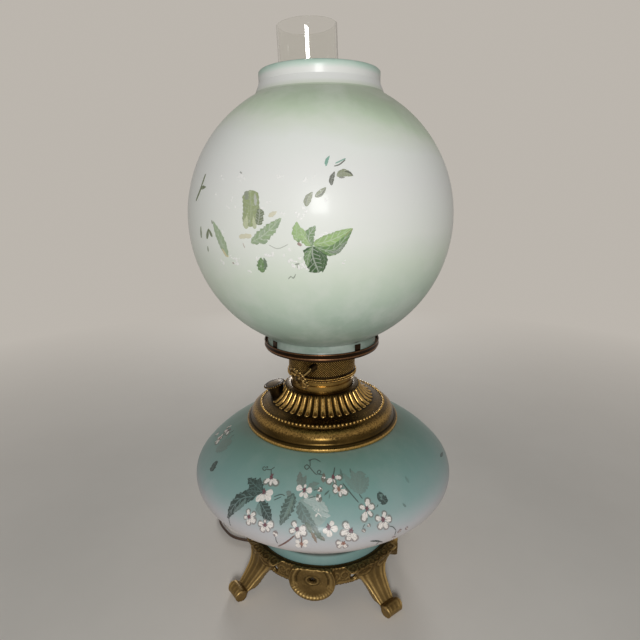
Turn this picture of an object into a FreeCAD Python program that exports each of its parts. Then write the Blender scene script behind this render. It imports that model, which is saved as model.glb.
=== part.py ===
import FreeCAD, Part
import math
import os

os.makedirs("parts", exist_ok=True)

# A parlour oil lamp with a ball shade, since wired for a small bulb.
# Sizes are in millimetres. Z runs up the lamp's axis from the table, and -Y is the foot's front.

# Glass foot and bowl
vase_foot_radius = 69.5
vase_foot_height = 12.5
vase_foot_flare = 2.0
vase_foot_lip = 1.5
vase_neck_radius = 66.3
vase_neck_height = 5.0
vase_foot_wall = 6.5
vase_belly_start = 67.0
vase_equator_radius = 124.9
vase_equator_roundness = 19.5
vase_shoulder_radius = 124.4
vase_belly_radius = 242.3
vase_mouth_radius = 72.0
vase_mouth_land = 8.0
vase_wall = 4.0
vase_floor_thickness = 5.0
vase_shoulder_angle = 40.7
vase_belly_angle = 45.3

# Cast foot
base_height = 42.0
foot_gap = 0.8
rim_width = 5.2
rim_depth = 3.2
ledge_width = 12.0
ledge_thickness = 4.0
apron_depth = 19.5
apron_width = 4.0
hub_radius = 13.0
spoke_width = 10.0
toe_reach = 103.0
toe_radius = 6.0
toe_width = 17.0
toe_flat = 0.4
leg_half_width = 30.0
medallion_radius = 22.0
medallion_height = 29.7
medallion_thickness = 6.5
medallion_stand_out = 1.5
medallion_rim_width = 2.5
medallion_rim_height = 1.2
medallion_slot_width = 7.2
medallion_slot_height = 5.4
piercing_radius = 2.6
piercing_height = 29.0
leg_count = 4
piercing_angle = 29.5
# Each row is height, inner reach, outer reach, width: height follows base_height, reach goes from
# the rim at 0 to the toe at 1, and width follows leg_half_width.
leg_section_shares = [
    (1.00, -0.35, 0.27, 1.00),
    (0.88, -0.35, 0.18, 0.80),
    (0.71, -0.30, 0.14, 0.58),
    (0.52, -0.05, 0.29, 0.42),
    (0.33, 0.18, 0.56, 0.33),
    (0.16, 0.48, 0.86, 0.28),
]
leg_crown_share = 0.10

# Rod that holds the bowl on the foot
nipple_radius = 5.0
nipple_bore = 3.4
nipple_below_hub = 7.0
nipple_above_plate = 6.5
nut_across_corners = 17.0
nut_height = 5.0
gasket_thickness = 1.2
gasket_width = 6.0
cork_thickness = 1.5
clamp_plate_radius = 22.0
clamp_plate_thickness = 2.0
clamp_plate_dish = 1.6
rod_clearance = 0.1
bushing_flange_radius = 5.4
bushing_flange_height = 2.0
bushing_length = 6.0
lead_clearance = 0.35

# Cord and plug
cord_diameter = 3.5
coil_turn_radius = 21.0
coil_pitch = 4.45
coil_layers = 4
coil_spiral_quarters = 9
coil_climb_quarters = 2
coil_centre = (-24.0, 160.0)
plug_length = 30.0
plug_width = 18.0
plug_thickness = 11.0
plug_round = 3.0
blade_length = 16.0
blade_width = 6.3
blade_thickness = 1.5
blade_spacing = 12.7
blade_root = 3.0

# Font: tank, shoulder and draft tube
tank_clearance = 5.0
tank_wall = 1.0
tank_height_over_rod = 20.4
tank_corner = 22.0
dome_thickness = 1.2
dome_flange_radius = 73.4
dome_flange_height = 3.4
dome_lip_drop = 0.0
dome_ring_radius = 32.0
dome_height = 36.0
draft_tube_radius = 17.5
draft_tube_wall = 0.8
draft_tube_below = 4.0
joint_gap = 0.1
# Each row is a point of the shoulder's outline: the first value runs from the ring at 0 to the
# flange at 1, and the second from the flange's top at 0 to the ring at 1.
dome_outline_shares = {
    "groove_out": (0.930, 0.045),
    "groove_in": (0.905, 0.075),
    "band_mid": (0.840, 0.285),
    "band_top": (0.690, 0.395),
    "bead_out": (0.680, 0.445),
    "bead_in": (0.640, 0.455),
    "cove_mid": (0.520, 0.490),
    "rib_end": (0.411, 0.545),
    "rib_mid": (0.185, 0.745),
    "rib_start": (0.075, 0.975),
}

# Collar, filler and its cap
collar_radius = 29.7
collar_height = 5.6
collar_wall = 1.3
filler_lean = 16.0
filler_azimuth = 188.0
filler_reach = 43.6
filler_bore = 6.1
filler_wall = 0.9
filler_height = 8.5
filler_sunk = 3.2
cap_radius = 10.6
cap_top_thickness = 2.2
cap_skirt_radius = 8.0
cap_skirt_height = 2.2
cap_wall = 0.8
cap_gap = 0.2
cap_gasket_thickness = 1.0
cap_travel = 25.0

# Burner: neck, band, drum, wick tube and gallery
neck_wall = 0.8
neck_gap = 0.05
neck_height = 10.3
deck_thickness = 1.2
band_radius = 32.4
band_height = 4.2
band_width = 1.6
drum_radius = 31.2
drum_wall = 0.8
drum_height = 18.0
drum_flange_radius = 35.6
drum_flange_thickness = 0.8
wick_clearance = 0.35
wick_thickness = 2.25
wick_tube_wall = 0.8
wick_tube_rise = 11.0
wick_tube_length = 58.0
gallery_thickness = 1.2
gallery_hole_radius = 1.6
gallery_hole_count = 18
gallery_slot_clearance = 0.5
prong_thickness = 0.7
prong_width = 6.0
prong_height = 12.0
prong_count = 8
prong_gap = 0.9

# Wick drive: rack rod, pinion, shaft and thumb wheel
wick_travel = 20.0
carrier_flange_radius = 22.4
carrier_flange_thickness = 3.0
carrier_collar_height = 6.0
carrier_wall = 0.8
carrier_gap_below_tube = 4.0
key_azimuth = 226.0
key_chord = 19.3
key_reach = 40.4
key_rise = 4.041
key_slope = 25.0
key_wheel_radius = 12.3
key_rim_radius = 1.7
key_hub_radius = 3.4
key_hub_length = 6.0
key_spoke_radius = 1.1
key_spoke_count = 4
shaft_radius = 1.5
shaft_clearance = 0.08
bushing_radius = 3.2
bushing_inner_reach = 21.6
bushing_outer_reach = 28.6
pinion_reach = 18.5
pinion_pitch_radius = 3.0
pinion_teeth = 10
pinion_length = 2.8
tooth_height = 0.6
tooth_root = 0.75
rack_tip_share = 0.10
rack_base_share = 0.28
pinion_tip_share = 0.12
pinion_base_share = 0.32
rack_width = 3.0
rack_thickness = 2.2
rack_margin = 1.6

# Chimney
chimney_foot_radius = 30.0
chimney_foot_height = 17.0
chimney_bulge_radius = 31.0
chimney_bulge_height = 31.0
chimney_neck_radius = 24.2
chimney_neck_height = 64.0
chimney_top_radius = 24.7
chimney_height = 273.0
chimney_wall = 1.7
chimney_seat_gap = 0.1
chimney_lean = 2.1
chimney_lean_azimuth = 188.2

# Shade ring
ring_radius = 54.0
ring_wall = 1.0
ring_height = 6.0
ring_floor_width = 8.5
ring_rise = 7.0
skirt_inner_radius = 33.5
skirt_land = 2.1
skirt_thickness = 0.9
skirt_hole_count = 14
skirt_hole_radius = 1.7
tab_count = 4
tab_width = 6.0
tab_height = 10.0
tab_thickness = 0.6

# Ball shade
shade_radius = 114.3
shade_wall = 3.5
shade_collar_radius = 50.3
shade_collar_height = 16.1
shade_lip_radius = 50.8
shade_lip_height = 5.6
shade_neck_radius = 47.5
shade_neck_height = 3.8
shade_seat_gap = 0.1

# Lampholder and bulb
adaptor_thickness = 1.2
adaptor_plug_depth = 4.0
holder_nipple_radius = 4.9
holder_nipple_above = 4.0
holder_nipple_below = 8.0
holder_nut_height = 4.0
holder_radius = 11.5
holder_height = 25.0
holder_bore = 8.5
holder_floor = 4.0
shell_radius = 7.3
shell_wall = 0.5
shell_height = 15.0
shell_clearance = 0.35
bulb_cap_height = 17.0
bulb_neck_radius = 6.2
bulb_radius = 16.0
bulb_widest_height = 27.0
bulb_throat_radius = 7.4
bulb_throat_height = 5.0
bulb_height = 78.0
bulb_wall = 0.8
bulb_tip_radius = 2.5
filament_radius = 1.6
filament_height = 34.0
filament_foot_share = 0.7
bulb_contact_gap = 0.4

# Overrun of every cut
over = 1.0

UP = FreeCAD.Vector(0, 0, 1)
ORIGIN = FreeCAD.Vector(0, 0, 0)
FULL_TURN = 360.0
made = {}


def flat(point):
    """A point of an outline, radius and height, on the XZ plane."""
    return FreeCAD.Vector(point[0], 0, point[1])


def outline(start, *steps):
    """A closed wire: a step is a point for a line, or a pair of points for an arc through the first."""
    edges = []
    last = start
    for step in steps:
        if isinstance(step[0], tuple):
            edges.append(Part.Arc(flat(last), flat(step[0]), flat(step[1])).toShape())
            last = step[1]
        else:
            edges.append(Part.makeLine(flat(last), flat(step)))
            last = step
    edges.append(Part.makeLine(flat(last), flat(start)))
    return Part.Wire(edges)


def turned(start, *steps):
    """The solid of an outline turned about the lamp's axis."""
    return Part.Face(outline(start, *steps)).revolve(ORIGIN, UP, FULL_TURN)


def tube(outer, inner, low, high):
    """An upright tube, or a rod where inner is zero."""
    body = Part.makeCylinder(outer, high - low, FreeCAD.Vector(0, 0, low))
    if inner > 0:
        body = body.cut(Part.makeCylinder(inner, high - low + 2 * over, FreeCAD.Vector(0, 0, low - over)))
    return body


def polar(radius, azimuth, height):
    """A point by radius and azimuth, where azimuth 0 is +X and 90 is +Y."""
    turn = math.radians(azimuth)
    return FreeCAD.Vector(radius * math.cos(turn), radius * math.sin(turn), height)


def placed(shape, origin, direction):
    """A shape made along +Z at the origin, moved so that +Z follows the direction."""
    result = shape.copy()
    result.Placement = FreeCAD.Placement(origin, FreeCAD.Rotation(UP, direction))
    return result


def around(shape, count, first=0.0):
    """Copies of a shape in even steps about the lamp's axis."""
    copies = []
    for index in range(count):
        copy = shape.copy()
        copy.rotate(ORIGIN, UP, first + index * FULL_TURN / count)
        copies.append(copy)
    return copies


def on_arc(centre, radius, angle):
    """A point of an arc by its angle in degrees above the horizontal."""
    turn = math.radians(angle)
    return (centre[0] + radius * math.cos(turn), centre[1] + radius * math.sin(turn))


def save(name, shape):
    """Writes one node and prints what it holds."""
    solids = shape.Solids
    volume = sum(solid.Volume for solid in solids)
    print(f"{name:22s} solids {len(solids):3d} volume {volume:10.1f} valid {shape.isValid()}")
    shape.exportStep(f"parts/{name}.step")
    made[name] = shape


# Heights of the foot and the bowl, worked out from the table upwards
rim_inner = vase_foot_radius + foot_gap
rim_radius = rim_inner + rim_width
ledge_top = base_height - rim_depth
ledge_low = ledge_top - ledge_thickness
vase_low = ledge_top + gasket_thickness
neck_low = vase_low + vase_foot_height
belly_low = neck_low + vase_neck_height + (vase_belly_start - vase_neck_radius)

equator_centre = (vase_equator_radius - vase_equator_roundness, 0.0)
shoulder_centre = on_arc(equator_centre, vase_equator_roundness - vase_shoulder_radius, vase_shoulder_angle)
belly_centre = on_arc(equator_centre, vase_equator_roundness - vase_belly_radius, -vase_belly_angle)


def height_on(centre, radius, reach, side):
    """The height at which an arc has the given reach, above or below its centre."""
    return centre[1] + side * math.sqrt(radius ** 2 - (reach - centre[0]) ** 2)


def reach_on(centre, radius, height):
    """The reach that an arc has at the given height."""
    return centre[0] + math.sqrt(radius ** 2 - (height - centre[1]) ** 2)


equator_height = belly_low - height_on(belly_centre, vase_belly_radius, vase_belly_start, -1)
equator_centre = (equator_centre[0], equator_centre[1] + equator_height)
shoulder_centre = (shoulder_centre[0], shoulder_centre[1] + equator_height)
belly_centre = (belly_centre[0], belly_centre[1] + equator_height)
mouth_top = height_on(shoulder_centre, vase_shoulder_radius, vase_mouth_radius, 1)
tank_radius = vase_mouth_radius - vase_mouth_land - tank_clearance
vase_floor_low = belly_low
vase_floor_top = vase_floor_low + vase_floor_thickness
print(f"bowl: equator at {equator_height:.3f}, mouth at {mouth_top:.3f}")


def angle_at(centre, point):
    """The angle of a point of an arc, in degrees above the horizontal."""
    return math.degrees(math.atan2(point[1] - centre[1], point[0] - centre[0]))


def bowl_wall(inset, low, high):
    """Arcs of the bowl's wall from low to high, each as a middle point and an end point."""
    belly = vase_belly_radius - inset
    equator = vase_equator_roundness - inset
    shoulder = vase_shoulder_radius - inset
    low_mid = (angle_at(belly_centre, low) - vase_belly_angle) / 2
    high_mid = (angle_at(shoulder_centre, high) + vase_shoulder_angle) / 2
    even = (vase_shoulder_angle - vase_belly_angle) / 2
    return [
        (on_arc(belly_centre, belly, low_mid), on_arc(equator_centre, equator, -vase_belly_angle)),
        (on_arc(equator_centre, equator, even), on_arc(equator_centre, equator, vase_shoulder_angle)),
        (on_arc(shoulder_centre, shoulder, high_mid), high),
    ]


def backwards(start, arcs):
    """The same arcs run from their far end back to the start."""
    ends = [start] + [arc[1] for arc in arcs]
    return [(arcs[index][0], ends[index]) for index in reversed(range(len(arcs)))]


def make_vase():
    belly_start = (vase_belly_start, belly_low)
    mouth = (vase_mouth_radius, mouth_top)
    mouth_inner = vase_mouth_radius - vase_mouth_land
    inner_shoulder = vase_shoulder_radius - vase_wall
    inner_high = (mouth_inner, height_on(shoulder_centre, inner_shoulder, mouth_inner, 1))
    inner_low = (reach_on(belly_centre, vase_belly_radius - vase_wall, vase_floor_top), vase_floor_top)
    outer = bowl_wall(0.0, belly_start, mouth)
    inner = bowl_wall(vase_wall, inner_low, inner_high)
    hole = nipple_radius + rod_clearance
    skirt_inner = vase_foot_radius - vase_foot_wall
    neck_inner = vase_neck_radius - vase_foot_wall
    return turned(
        (vase_foot_radius, vase_low),
        (vase_foot_radius, vase_low + vase_foot_lip),
        (vase_foot_radius - vase_foot_flare, neck_low),
        (vase_neck_radius, neck_low + vase_neck_height / 2),
        (vase_neck_radius, neck_low + vase_neck_height),
        belly_start,
        *outer,
        (mouth_inner, mouth_top),
        inner_high,
        *backwards(inner_low, inner),
        (hole, vase_floor_top),
        (hole, vase_floor_low),
        (neck_inner, vase_floor_low),
        (skirt_inner, vase_low),
    )


def make_leg():
    """One leg of the foot, lofted along level sections from the rim down to the toe."""
    wires = []
    span = toe_reach - rim_radius
    for height_share, inner_share, outer_share, width_share in leg_section_shares:
        height = height_share * base_height
        inner = rim_radius + inner_share * span
        outer = rim_radius + outer_share * span
        half = width_share * leg_half_width
        side = outer - leg_crown_share * half
        corners = [(inner, -half), (side, -half), (side, half), (inner, half)]
        points = [FreeCAD.Vector(x, y, height) for x, y in corners]
        crown = Part.Arc(points[1], FreeCAD.Vector(outer, 0, height), points[2]).toShape()
        sides = [Part.makeLine(points[0], points[1]), crown]
        sides += [Part.makeLine(points[2], points[3]), Part.makeLine(points[3], points[0])]
        wires.append(Part.Wire(sides))
    leg = Part.makeLoft(wires, True, False)
    toe_height = toe_radius - toe_flat
    toe = Part.makeCylinder(
        toe_radius,
        toe_width,
        FreeCAD.Vector(toe_reach, -toe_width / 2, toe_height),
        FreeCAD.Vector(0, 1, 0),
    )
    return leg.fuse(toe)


def make_medallion():
    """One shell medallion under the rim, on the +X side, with its raised edge."""
    front = rim_radius + medallion_stand_out
    facing = FreeCAD.Vector(1, 0, 0)
    back = FreeCAD.Vector(front - medallion_thickness, 0, medallion_height)
    disc = Part.makeCylinder(medallion_radius, medallion_thickness, back, facing)
    face = FreeCAD.Vector(front, 0, medallion_height)
    edge = Part.makeCylinder(medallion_radius, medallion_rim_height, face, facing)
    edge = edge.cut(Part.makeCylinder(medallion_radius - medallion_rim_width, medallion_rim_height, face, facing))
    return disc.fuse(edge)


def medallion_slot():
    """The oval hole through a medallion, as a tool for cutting."""
    oval = Part.Ellipse(ORIGIN, medallion_slot_width / 2, medallion_slot_height / 2).toShape()
    tool = Part.Face(Part.Wire(oval)).extrude(FreeCAD.Vector(0, 0, rim_radius))
    tool.rotate(ORIGIN, UP, FULL_TURN / 4)
    tool.rotate(ORIGIN, FreeCAD.Vector(0, 1, 0), FULL_TURN / 4)
    tool.translate(FreeCAD.Vector(rim_radius / 2, 0, medallion_height))
    return tool


def make_base():
    apron_inner = rim_radius - apron_width
    body = turned(
        (apron_inner, base_height - apron_depth),
        (rim_radius, base_height - apron_depth),
        (rim_radius, base_height),
        (rim_inner, base_height),
        (rim_inner, ledge_top),
        (rim_inner - ledge_width, ledge_top),
        (rim_inner - ledge_width, ledge_low),
        (apron_inner, ledge_low),
    )
    step = FULL_TURN / leg_count
    limbs = around(make_leg(), leg_count, step / 2) + around(make_medallion(), leg_count)
    well = tube(apron_inner, 0, -over, base_height + over)
    room = tube(2 * toe_reach, 0, 0, base_height)
    for limb in limbs:
        body = body.fuse(limb.common(room).cut(well))
    spoke_length = rim_inner - ledge_width / 2
    for azimuth in range(leg_count):
        spoke = Part.makeBox(spoke_length, spoke_width, ledge_thickness)
        spoke.translate(FreeCAD.Vector(0, -spoke_width / 2, ledge_low))
        spoke.rotate(ORIGIN, UP, (azimuth + 0.5) * step)
        body = body.fuse(spoke)
    body = body.fuse(tube(hub_radius, 0, ledge_low, ledge_top))
    body = body.cut(tube(nipple_radius + rod_clearance, 0, ledge_low - over, ledge_top + over))
    for slot in around(medallion_slot(), leg_count):
        body = body.cut(slot)
    for side in (-1, 1):
        start = polar(rim_radius / 2, side * piercing_angle, piercing_height)
        hole = Part.makeCylinder(piercing_radius, rim_radius, start, polar(1, side * piercing_angle, 0))
        for copy in around(hole, leg_count):
            body = body.cut(copy)
    return body.removeSplitter()


def hexagon(across, low, high, bore):
    """A hexagon nut with a round bore."""
    corners = [polar(across / 2, index * FULL_TURN / 6, low) for index in range(6)]
    face = Part.Face(Part.makePolygon(corners + [corners[0]]))
    return face.extrude(FreeCAD.Vector(0, 0, high - low)).cut(tube(bore, 0, low - over, high + over))


save("base_casting", make_base())
save("vase", make_vase())
save("vase_gasket", tube(vase_foot_radius, vase_foot_radius - gasket_width, ledge_top, vase_low))

# Rod, plates and nuts
cork_top = vase_floor_top + cork_thickness
plate_top = cork_top + clamp_plate_thickness
rod_low = ledge_low - nipple_below_hub
rod_high = plate_top + nipple_above_plate
rod_hole = nipple_radius + rod_clearance
save("clamp_washer", tube(clamp_plate_radius, rod_hole, vase_floor_top, cork_top))
save("clamp_plate", turned(
    (rod_hole, cork_top),
    (clamp_plate_radius, cork_top),
    (clamp_plate_radius, cork_top + clamp_plate_thickness - clamp_plate_dish / 2),
    (nut_across_corners / 2, plate_top),
    (rod_hole, plate_top),
))
save("tie_nipple", tube(nipple_radius, nipple_bore, rod_low, rod_high))
save("tie_nut_top", hexagon(nut_across_corners, plate_top, plate_top + nut_height, rod_hole))
save("tie_nut_bottom", hexagon(nut_across_corners, ledge_low - nut_height, ledge_low, rod_hole))

cord_radius = cord_diameter / 2
lead_bore = cord_radius + lead_clearance
exit_height = rod_low - bushing_flange_height
bush = tube(bushing_flange_radius, lead_bore, exit_height, rod_low)
save("cord_bushing", bush.fuse(tube(nipple_bore - joint_gap, lead_bore, exit_height, rod_low + bushing_length)))

# Cord: the route is a list of points, then the coil, then the run to the plug
coil_outer = coil_turn_radius + coil_pitch * coil_spiral_quarters / 8
coil_start = (coil_centre[0] - coil_outer, coil_centre[1])
cord_route = [
    (0.0, 0.0, exit_height),
    (0.0, 0.0, 15.5),
    (-6.0, 0.0, 6.9),
    (-15.3, 0.3, 3.15),
    (-31.0, 0.8, cord_radius),
    (-56.0, -1.0, cord_radius),
    (-85.3, 0.0, cord_radius),
    (-102.4, 3.2, cord_radius),
    (-113.9, 13.3, cord_radius),
    (-123.6, 24.1, cord_radius),
    (-130.6, 40.0, cord_radius),
    (-131.0, 58.5, cord_radius),
    (-125.0, 78.0, cord_radius),
    (-109.0, 97.0, cord_radius),
    (-85.0, 110.5, cord_radius),
    (-60.5, 122.0, cord_radius),
    (coil_start[0], 139.5, cord_radius),
    (coil_start[0], coil_start[1] - cord_diameter, cord_radius),
]


def arc_through(start, corner, end):
    """The arc that leaves start towards the corner and reaches end from it."""
    middle = (start + end) * 0.5
    rise = corner - middle
    half_chord = (end - start).Length / 2
    half_turn = math.atan2(rise.Length, half_chord)
    sagitta = half_chord * math.tan(half_turn / 2)
    return Part.Arc(start, middle + rise * (sagitta / rise.Length), end).toShape()


def cord_path(points):
    """Straight runs joined by tangent arcs, each as large as its two runs allow."""
    places = [FreeCAD.Vector(*point) for point in points]
    edges = []
    radii = []
    last = places[0]
    for before, corner, after in zip(places, places[1:], places[2:]):
        run_in = corner - before
        run_out = after - corner
        tangent = 0.45 * min(run_in.Length, run_out.Length)
        turn = run_in.getAngle(run_out)
        start = corner - run_in * (tangent / run_in.Length)
        end = corner + run_out * (tangent / run_out.Length)
        edges.append(Part.makeLine(last, start))
        edges.append(arc_through(start, corner, end))
        radii.append(tangent / math.tan(turn / 2))
        last = end
    edges.append(Part.makeLine(last, places[-1]))
    print("arc radii", " ".join(f"{radius:.1f}" for radius in radii))
    return Part.Wire(edges)


def cord_tube(path, name):
    """A round tube along a path, with its volume set against its section times its length."""
    first = path.Edges[0]
    start = first.valueAt(first.FirstParameter)
    heading = first.tangentAt(first.FirstParameter)
    ring = Part.Wire(Part.makeCircle(cord_radius, start, heading))
    body = path.makePipeShell([ring], True, False)
    expected = math.pi * cord_radius ** 2 * path.Length
    print(f"{name} length {path.Length:.1f}, volume share {body.Volume / expected:.4f}")
    return body


def coil_point(quarters):
    """The coil's centre line: spirals in and out by turns, with a climb of a layer between them."""
    layer_quarters = coil_spiral_quarters + coil_climb_quarters
    layer = min(int(quarters // layer_quarters), coil_layers - 1)
    along = quarters - layer * layer_quarters
    spiral = min(along, coil_spiral_quarters) / 4
    climb = max(along - coil_spiral_quarters, 0) / coil_climb_quarters
    span = coil_spiral_quarters / 4
    inward = layer % 2 == 0
    step_in = spiral if inward else span - spiral
    radius = coil_outer - coil_pitch * step_in
    height = cord_radius + coil_pitch * (layer + climb)
    point = polar(radius, FULL_TURN / 2 - quarters * FULL_TURN / 4, height)
    return point + FreeCAD.Vector(coil_centre[0], coil_centre[1], 0)


def coil_heading(quarters):
    """The direction of the coil's centre line, level at its two ends."""
    nudge = 0.01
    total = coil_quarters()
    heading = coil_point(min(quarters + nudge, total)) - coil_point(max(quarters - nudge, 0))
    if quarters in (0, total):
        turn = FULL_TURN / 2 - quarters * FULL_TURN / 4
        heading = polar(1, turn - FULL_TURN / 4, 0)
    return heading.normalize()


def coil_quarters():
    """Quarter turns from the coil's first point to its last."""
    return coil_layers * coil_spiral_quarters + (coil_layers - 1) * coil_climb_quarters


def two_arcs(start, heading, end, end_heading):
    """Two arcs that join smoothly between two points with given headings."""
    chord = end - start
    both = heading + end_heading
    slope = chord.dot(both)
    spread = 2 * (1 - heading.dot(end_heading))
    reach = (-slope + math.sqrt(slope ** 2 + spread * chord.dot(chord))) / spread
    first_corner = start + heading * reach
    second_corner = end - end_heading * reach
    middle = (first_corner + second_corner) * 0.5
    return [arc_through(start, first_corner, middle), arc_through(middle, second_corner, end)]


def coil_path():
    total = coil_quarters()
    start = coil_point(0)
    edges = [Part.makeLine(start - coil_heading(0) * cord_diameter, start)]
    for quarter in range(total):
        here = coil_point(quarter)
        there = coil_point(quarter + 1)
        edges += two_arcs(here, coil_heading(quarter), there, coil_heading(quarter + 1))
    end = coil_point(total)
    edges.append(Part.makeLine(end, end + coil_heading(total) * cord_diameter))
    return Part.Wire(edges)


def least_gap(path):
    """The least gap of a tube along a path to itself, measured on points along it."""
    points = []
    for edge in path.Edges:
        points += edge.discretize(6)[:-1]
    skip = int(len(points) / coil_quarters() * 2)
    nearest = min(
        (points[here] - points[there]).Length
        for here in range(len(points))
        for there in range(here + skip, len(points))
    )
    return nearest - cord_diameter


coil_line = coil_path()
print(f"coil least gap {least_gap(coil_line):.2f}")
coil_end = coil_point(coil_quarters())
coil_way = coil_heading(coil_quarters())
save("cord", cord_tube(cord_path(cord_route), "cord"))
save("cord_coil", cord_tube(coil_line, "coil"))

tail_start = coil_end + coil_way * cord_diameter
plug_height = plug_thickness / 2
# Each row is a step across, a step back, and how far the tail has come down to the plug's height.
tail_steps = [
    (0.0, 0.0, 0.0),
    (0.0, -9.0, 0.0),
    (3.5, -19.0, 0.35),
    (12.0, -28.0, 0.85),
    (23.5, -33.0, 1.0),
    (35.0, -35.0, 1.0),
]
tail_route = [
    (tail_start.x + across, tail_start.y + back, tail_start.z + down * (plug_height - tail_start.z))
    for across, back, down in tail_steps
]
save("cord_tail", cord_tube(cord_path(tail_route), "tail"))

tail_end = FreeCAD.Vector(*tail_route[-1])
plug_way = (tail_end - FreeCAD.Vector(*tail_route[-2])).normalize()
plug_body = Part.makeBox(plug_thickness, plug_width, plug_length)
plug_body.translate(FreeCAD.Vector(-plug_thickness / 2, -plug_width / 2, 0))
plug_body = plug_body.makeFillet(plug_round, [edge for edge in plug_body.Edges if edge.Length > plug_width])
blades = []
for side in (-1, 1):
    blade = Part.makeBox(blade_width, blade_thickness, blade_length)
    blade.translate(FreeCAD.Vector(-blade_width / 2, -blade_thickness / 2 + side * blade_spacing / 2, plug_length))
    blades.append(blade)


def laid_plug(shape):
    """Plug pieces are made along +Z with their thickness along X, and laid flat at the cord's end."""
    result = shape.copy()
    result.rotate(ORIGIN, FreeCAD.Vector(0, 1, 0), FULL_TURN / 4)
    result.rotate(ORIGIN, UP, math.degrees(math.atan2(plug_way.y, plug_way.x)))
    result.translate(tail_end)
    return result


save("plug_body", laid_plug(plug_body))
save("plug_blades", Part.makeCompound([laid_plug(blade) for blade in blades]))

# Font: the shoulder's flange rests on the bowl's mouth
flange_low = mouth_top + joint_gap
flange_top = flange_low + dome_flange_height
dome_top = flange_low + dome_height


def dome_point(name, inset=0.0):
    """A point of the shoulder's outline by name, moved in by a thickness where that is given."""
    reach_share, rise_share = dome_outline_shares[name]
    radius = dome_ring_radius + reach_share * (dome_flange_radius - dome_ring_radius)
    height = flange_top + rise_share * (dome_top - flange_top)
    return (radius - inset * math.sin(math.radians(45)), height - inset)


def make_dome():
    inner_names = ["rib_start", "rib_mid", "rib_end", "cove_mid", "bead_in", "band_top", "band_mid", "groove_in"]
    inside = {name: dome_point(name, dome_thickness) for name in inner_names}
    bead_mid = (
        (dome_point("bead_out")[0] + dome_point("bead_in")[0]) / 2,
        dome_point("bead_in")[1] + dome_thickness / 2,
    )
    rim_mid = (dome_flange_radius, (flange_low + flange_top) / 2)
    rim_roll = dome_flange_height / 4
    shell = turned(
        (dome_flange_radius - rim_roll, flange_low),
        (rim_mid, (dome_flange_radius - rim_roll, flange_top)),
        dome_point("groove_out"),
        dome_point("groove_in"),
        (dome_point("band_mid"), dome_point("band_top")),
        dome_point("bead_out"),
        (bead_mid, dome_point("bead_in")),
        (dome_point("cove_mid"), dome_point("rib_end")),
        (dome_point("rib_mid"), dome_point("rib_start")),
        (dome_ring_radius, dome_top),
        (collar_radius - collar_wall - dome_thickness, dome_top),
        (collar_radius - collar_wall - dome_thickness, dome_top - dome_thickness),
        (inside["rib_start"][0], dome_top - dome_thickness),
        inside["rib_start"],
        (inside["rib_mid"], inside["rib_end"]),
        (inside["cove_mid"], inside["bead_in"]),
        inside["band_top"],
        (inside["band_mid"], inside["groove_in"]),
        (inside["groove_in"][0], flange_low + dome_thickness),
        (tank_radius + joint_gap, flange_low + dome_thickness),
        (tank_radius + joint_gap, flange_low),
    )
    return shell


filler_seat = polar(filler_reach, filler_azimuth, 0)
filler_tilt = math.radians(filler_lean)
filler_axis = polar(math.sin(filler_tilt), filler_azimuth, math.cos(filler_tilt))


def dome_height_at(reach):
    """The shoulder's height at a reach within its ribbed part."""
    low = dome_point("rib_end")
    high = dome_point("rib_start")
    share = (low[0] - reach) / (low[0] - high[0])
    return low[1] + max(share, 0) * (high[1] - low[1]) * share


filler_seat.z = dome_height_at(filler_reach)
filler_base = filler_seat - filler_axis * filler_sunk
filler_outer = filler_bore + filler_wall
filler_length = filler_sunk + filler_height
filler_hole = placed(
    Part.makeCylinder(filler_outer + neck_gap, 3 * filler_length),
    filler_seat - filler_axis * filler_length,
    filler_axis,
)
save("font_dome", make_dome().cut(filler_hole))

tank_top = flange_low + dome_thickness - joint_gap
tank_low = rod_high + tank_height_over_rod
tank_side = tank_radius - tank_corner
corner = math.sin(math.radians(45))
tank_inner_corner = tank_corner - tank_wall
save("font_tank", turned(
    (tank_radius, tank_top),
    (tank_radius, tank_low + tank_corner),
    ((tank_side + tank_corner * corner, tank_low + tank_corner * (1 - corner)), (tank_side, tank_low)),
    (draft_tube_radius + neck_gap, tank_low),
    (draft_tube_radius + neck_gap, tank_low + tank_wall),
    (tank_side, tank_low + tank_wall),
    (
        (tank_side + tank_inner_corner * corner, tank_low + tank_corner - tank_inner_corner * corner),
        (tank_radius - tank_wall, tank_low + tank_corner),
    ),
    (tank_radius - tank_wall, tank_top),
))

neck_shape = tube(filler_outer, filler_bore, 0, filler_length)
save("filler_neck", placed(neck_shape, filler_base, filler_axis))

# Filler cap, made along +Z with its seat at zero
cap_low = filler_height - cap_skirt_height
cap_roof = filler_height + cap_gasket_thickness + 2 * cap_gap
cap_shape = turned(
    (cap_skirt_radius, cap_low),
    (cap_skirt_radius, cap_roof),
    (cap_radius, cap_roof),
    (cap_radius, cap_roof + cap_top_thickness),
    (0.0, cap_roof + cap_top_thickness),
    (0.0, cap_roof),
    (cap_skirt_radius - cap_wall, cap_roof),
    (cap_skirt_radius - cap_wall, cap_low),
)
save("filler_cap", placed(cap_shape, filler_seat, filler_axis))
cap_gasket = tube(filler_outer, filler_bore / 2, filler_height + cap_gap, filler_height + cap_gap + cap_gasket_thickness)
save("filler_gasket", placed(cap_gasket, filler_seat, filler_axis))

# Collar, burner neck and deck
collar_low = dome_top
collar_top = collar_low + collar_height
neck_outer = collar_radius - collar_wall - neck_gap
neck_low_height = collar_low + neck_gap
band_low = neck_low_height + neck_height
save("font_collar", tube(collar_radius, collar_radius - collar_wall, collar_low, collar_top))

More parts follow.
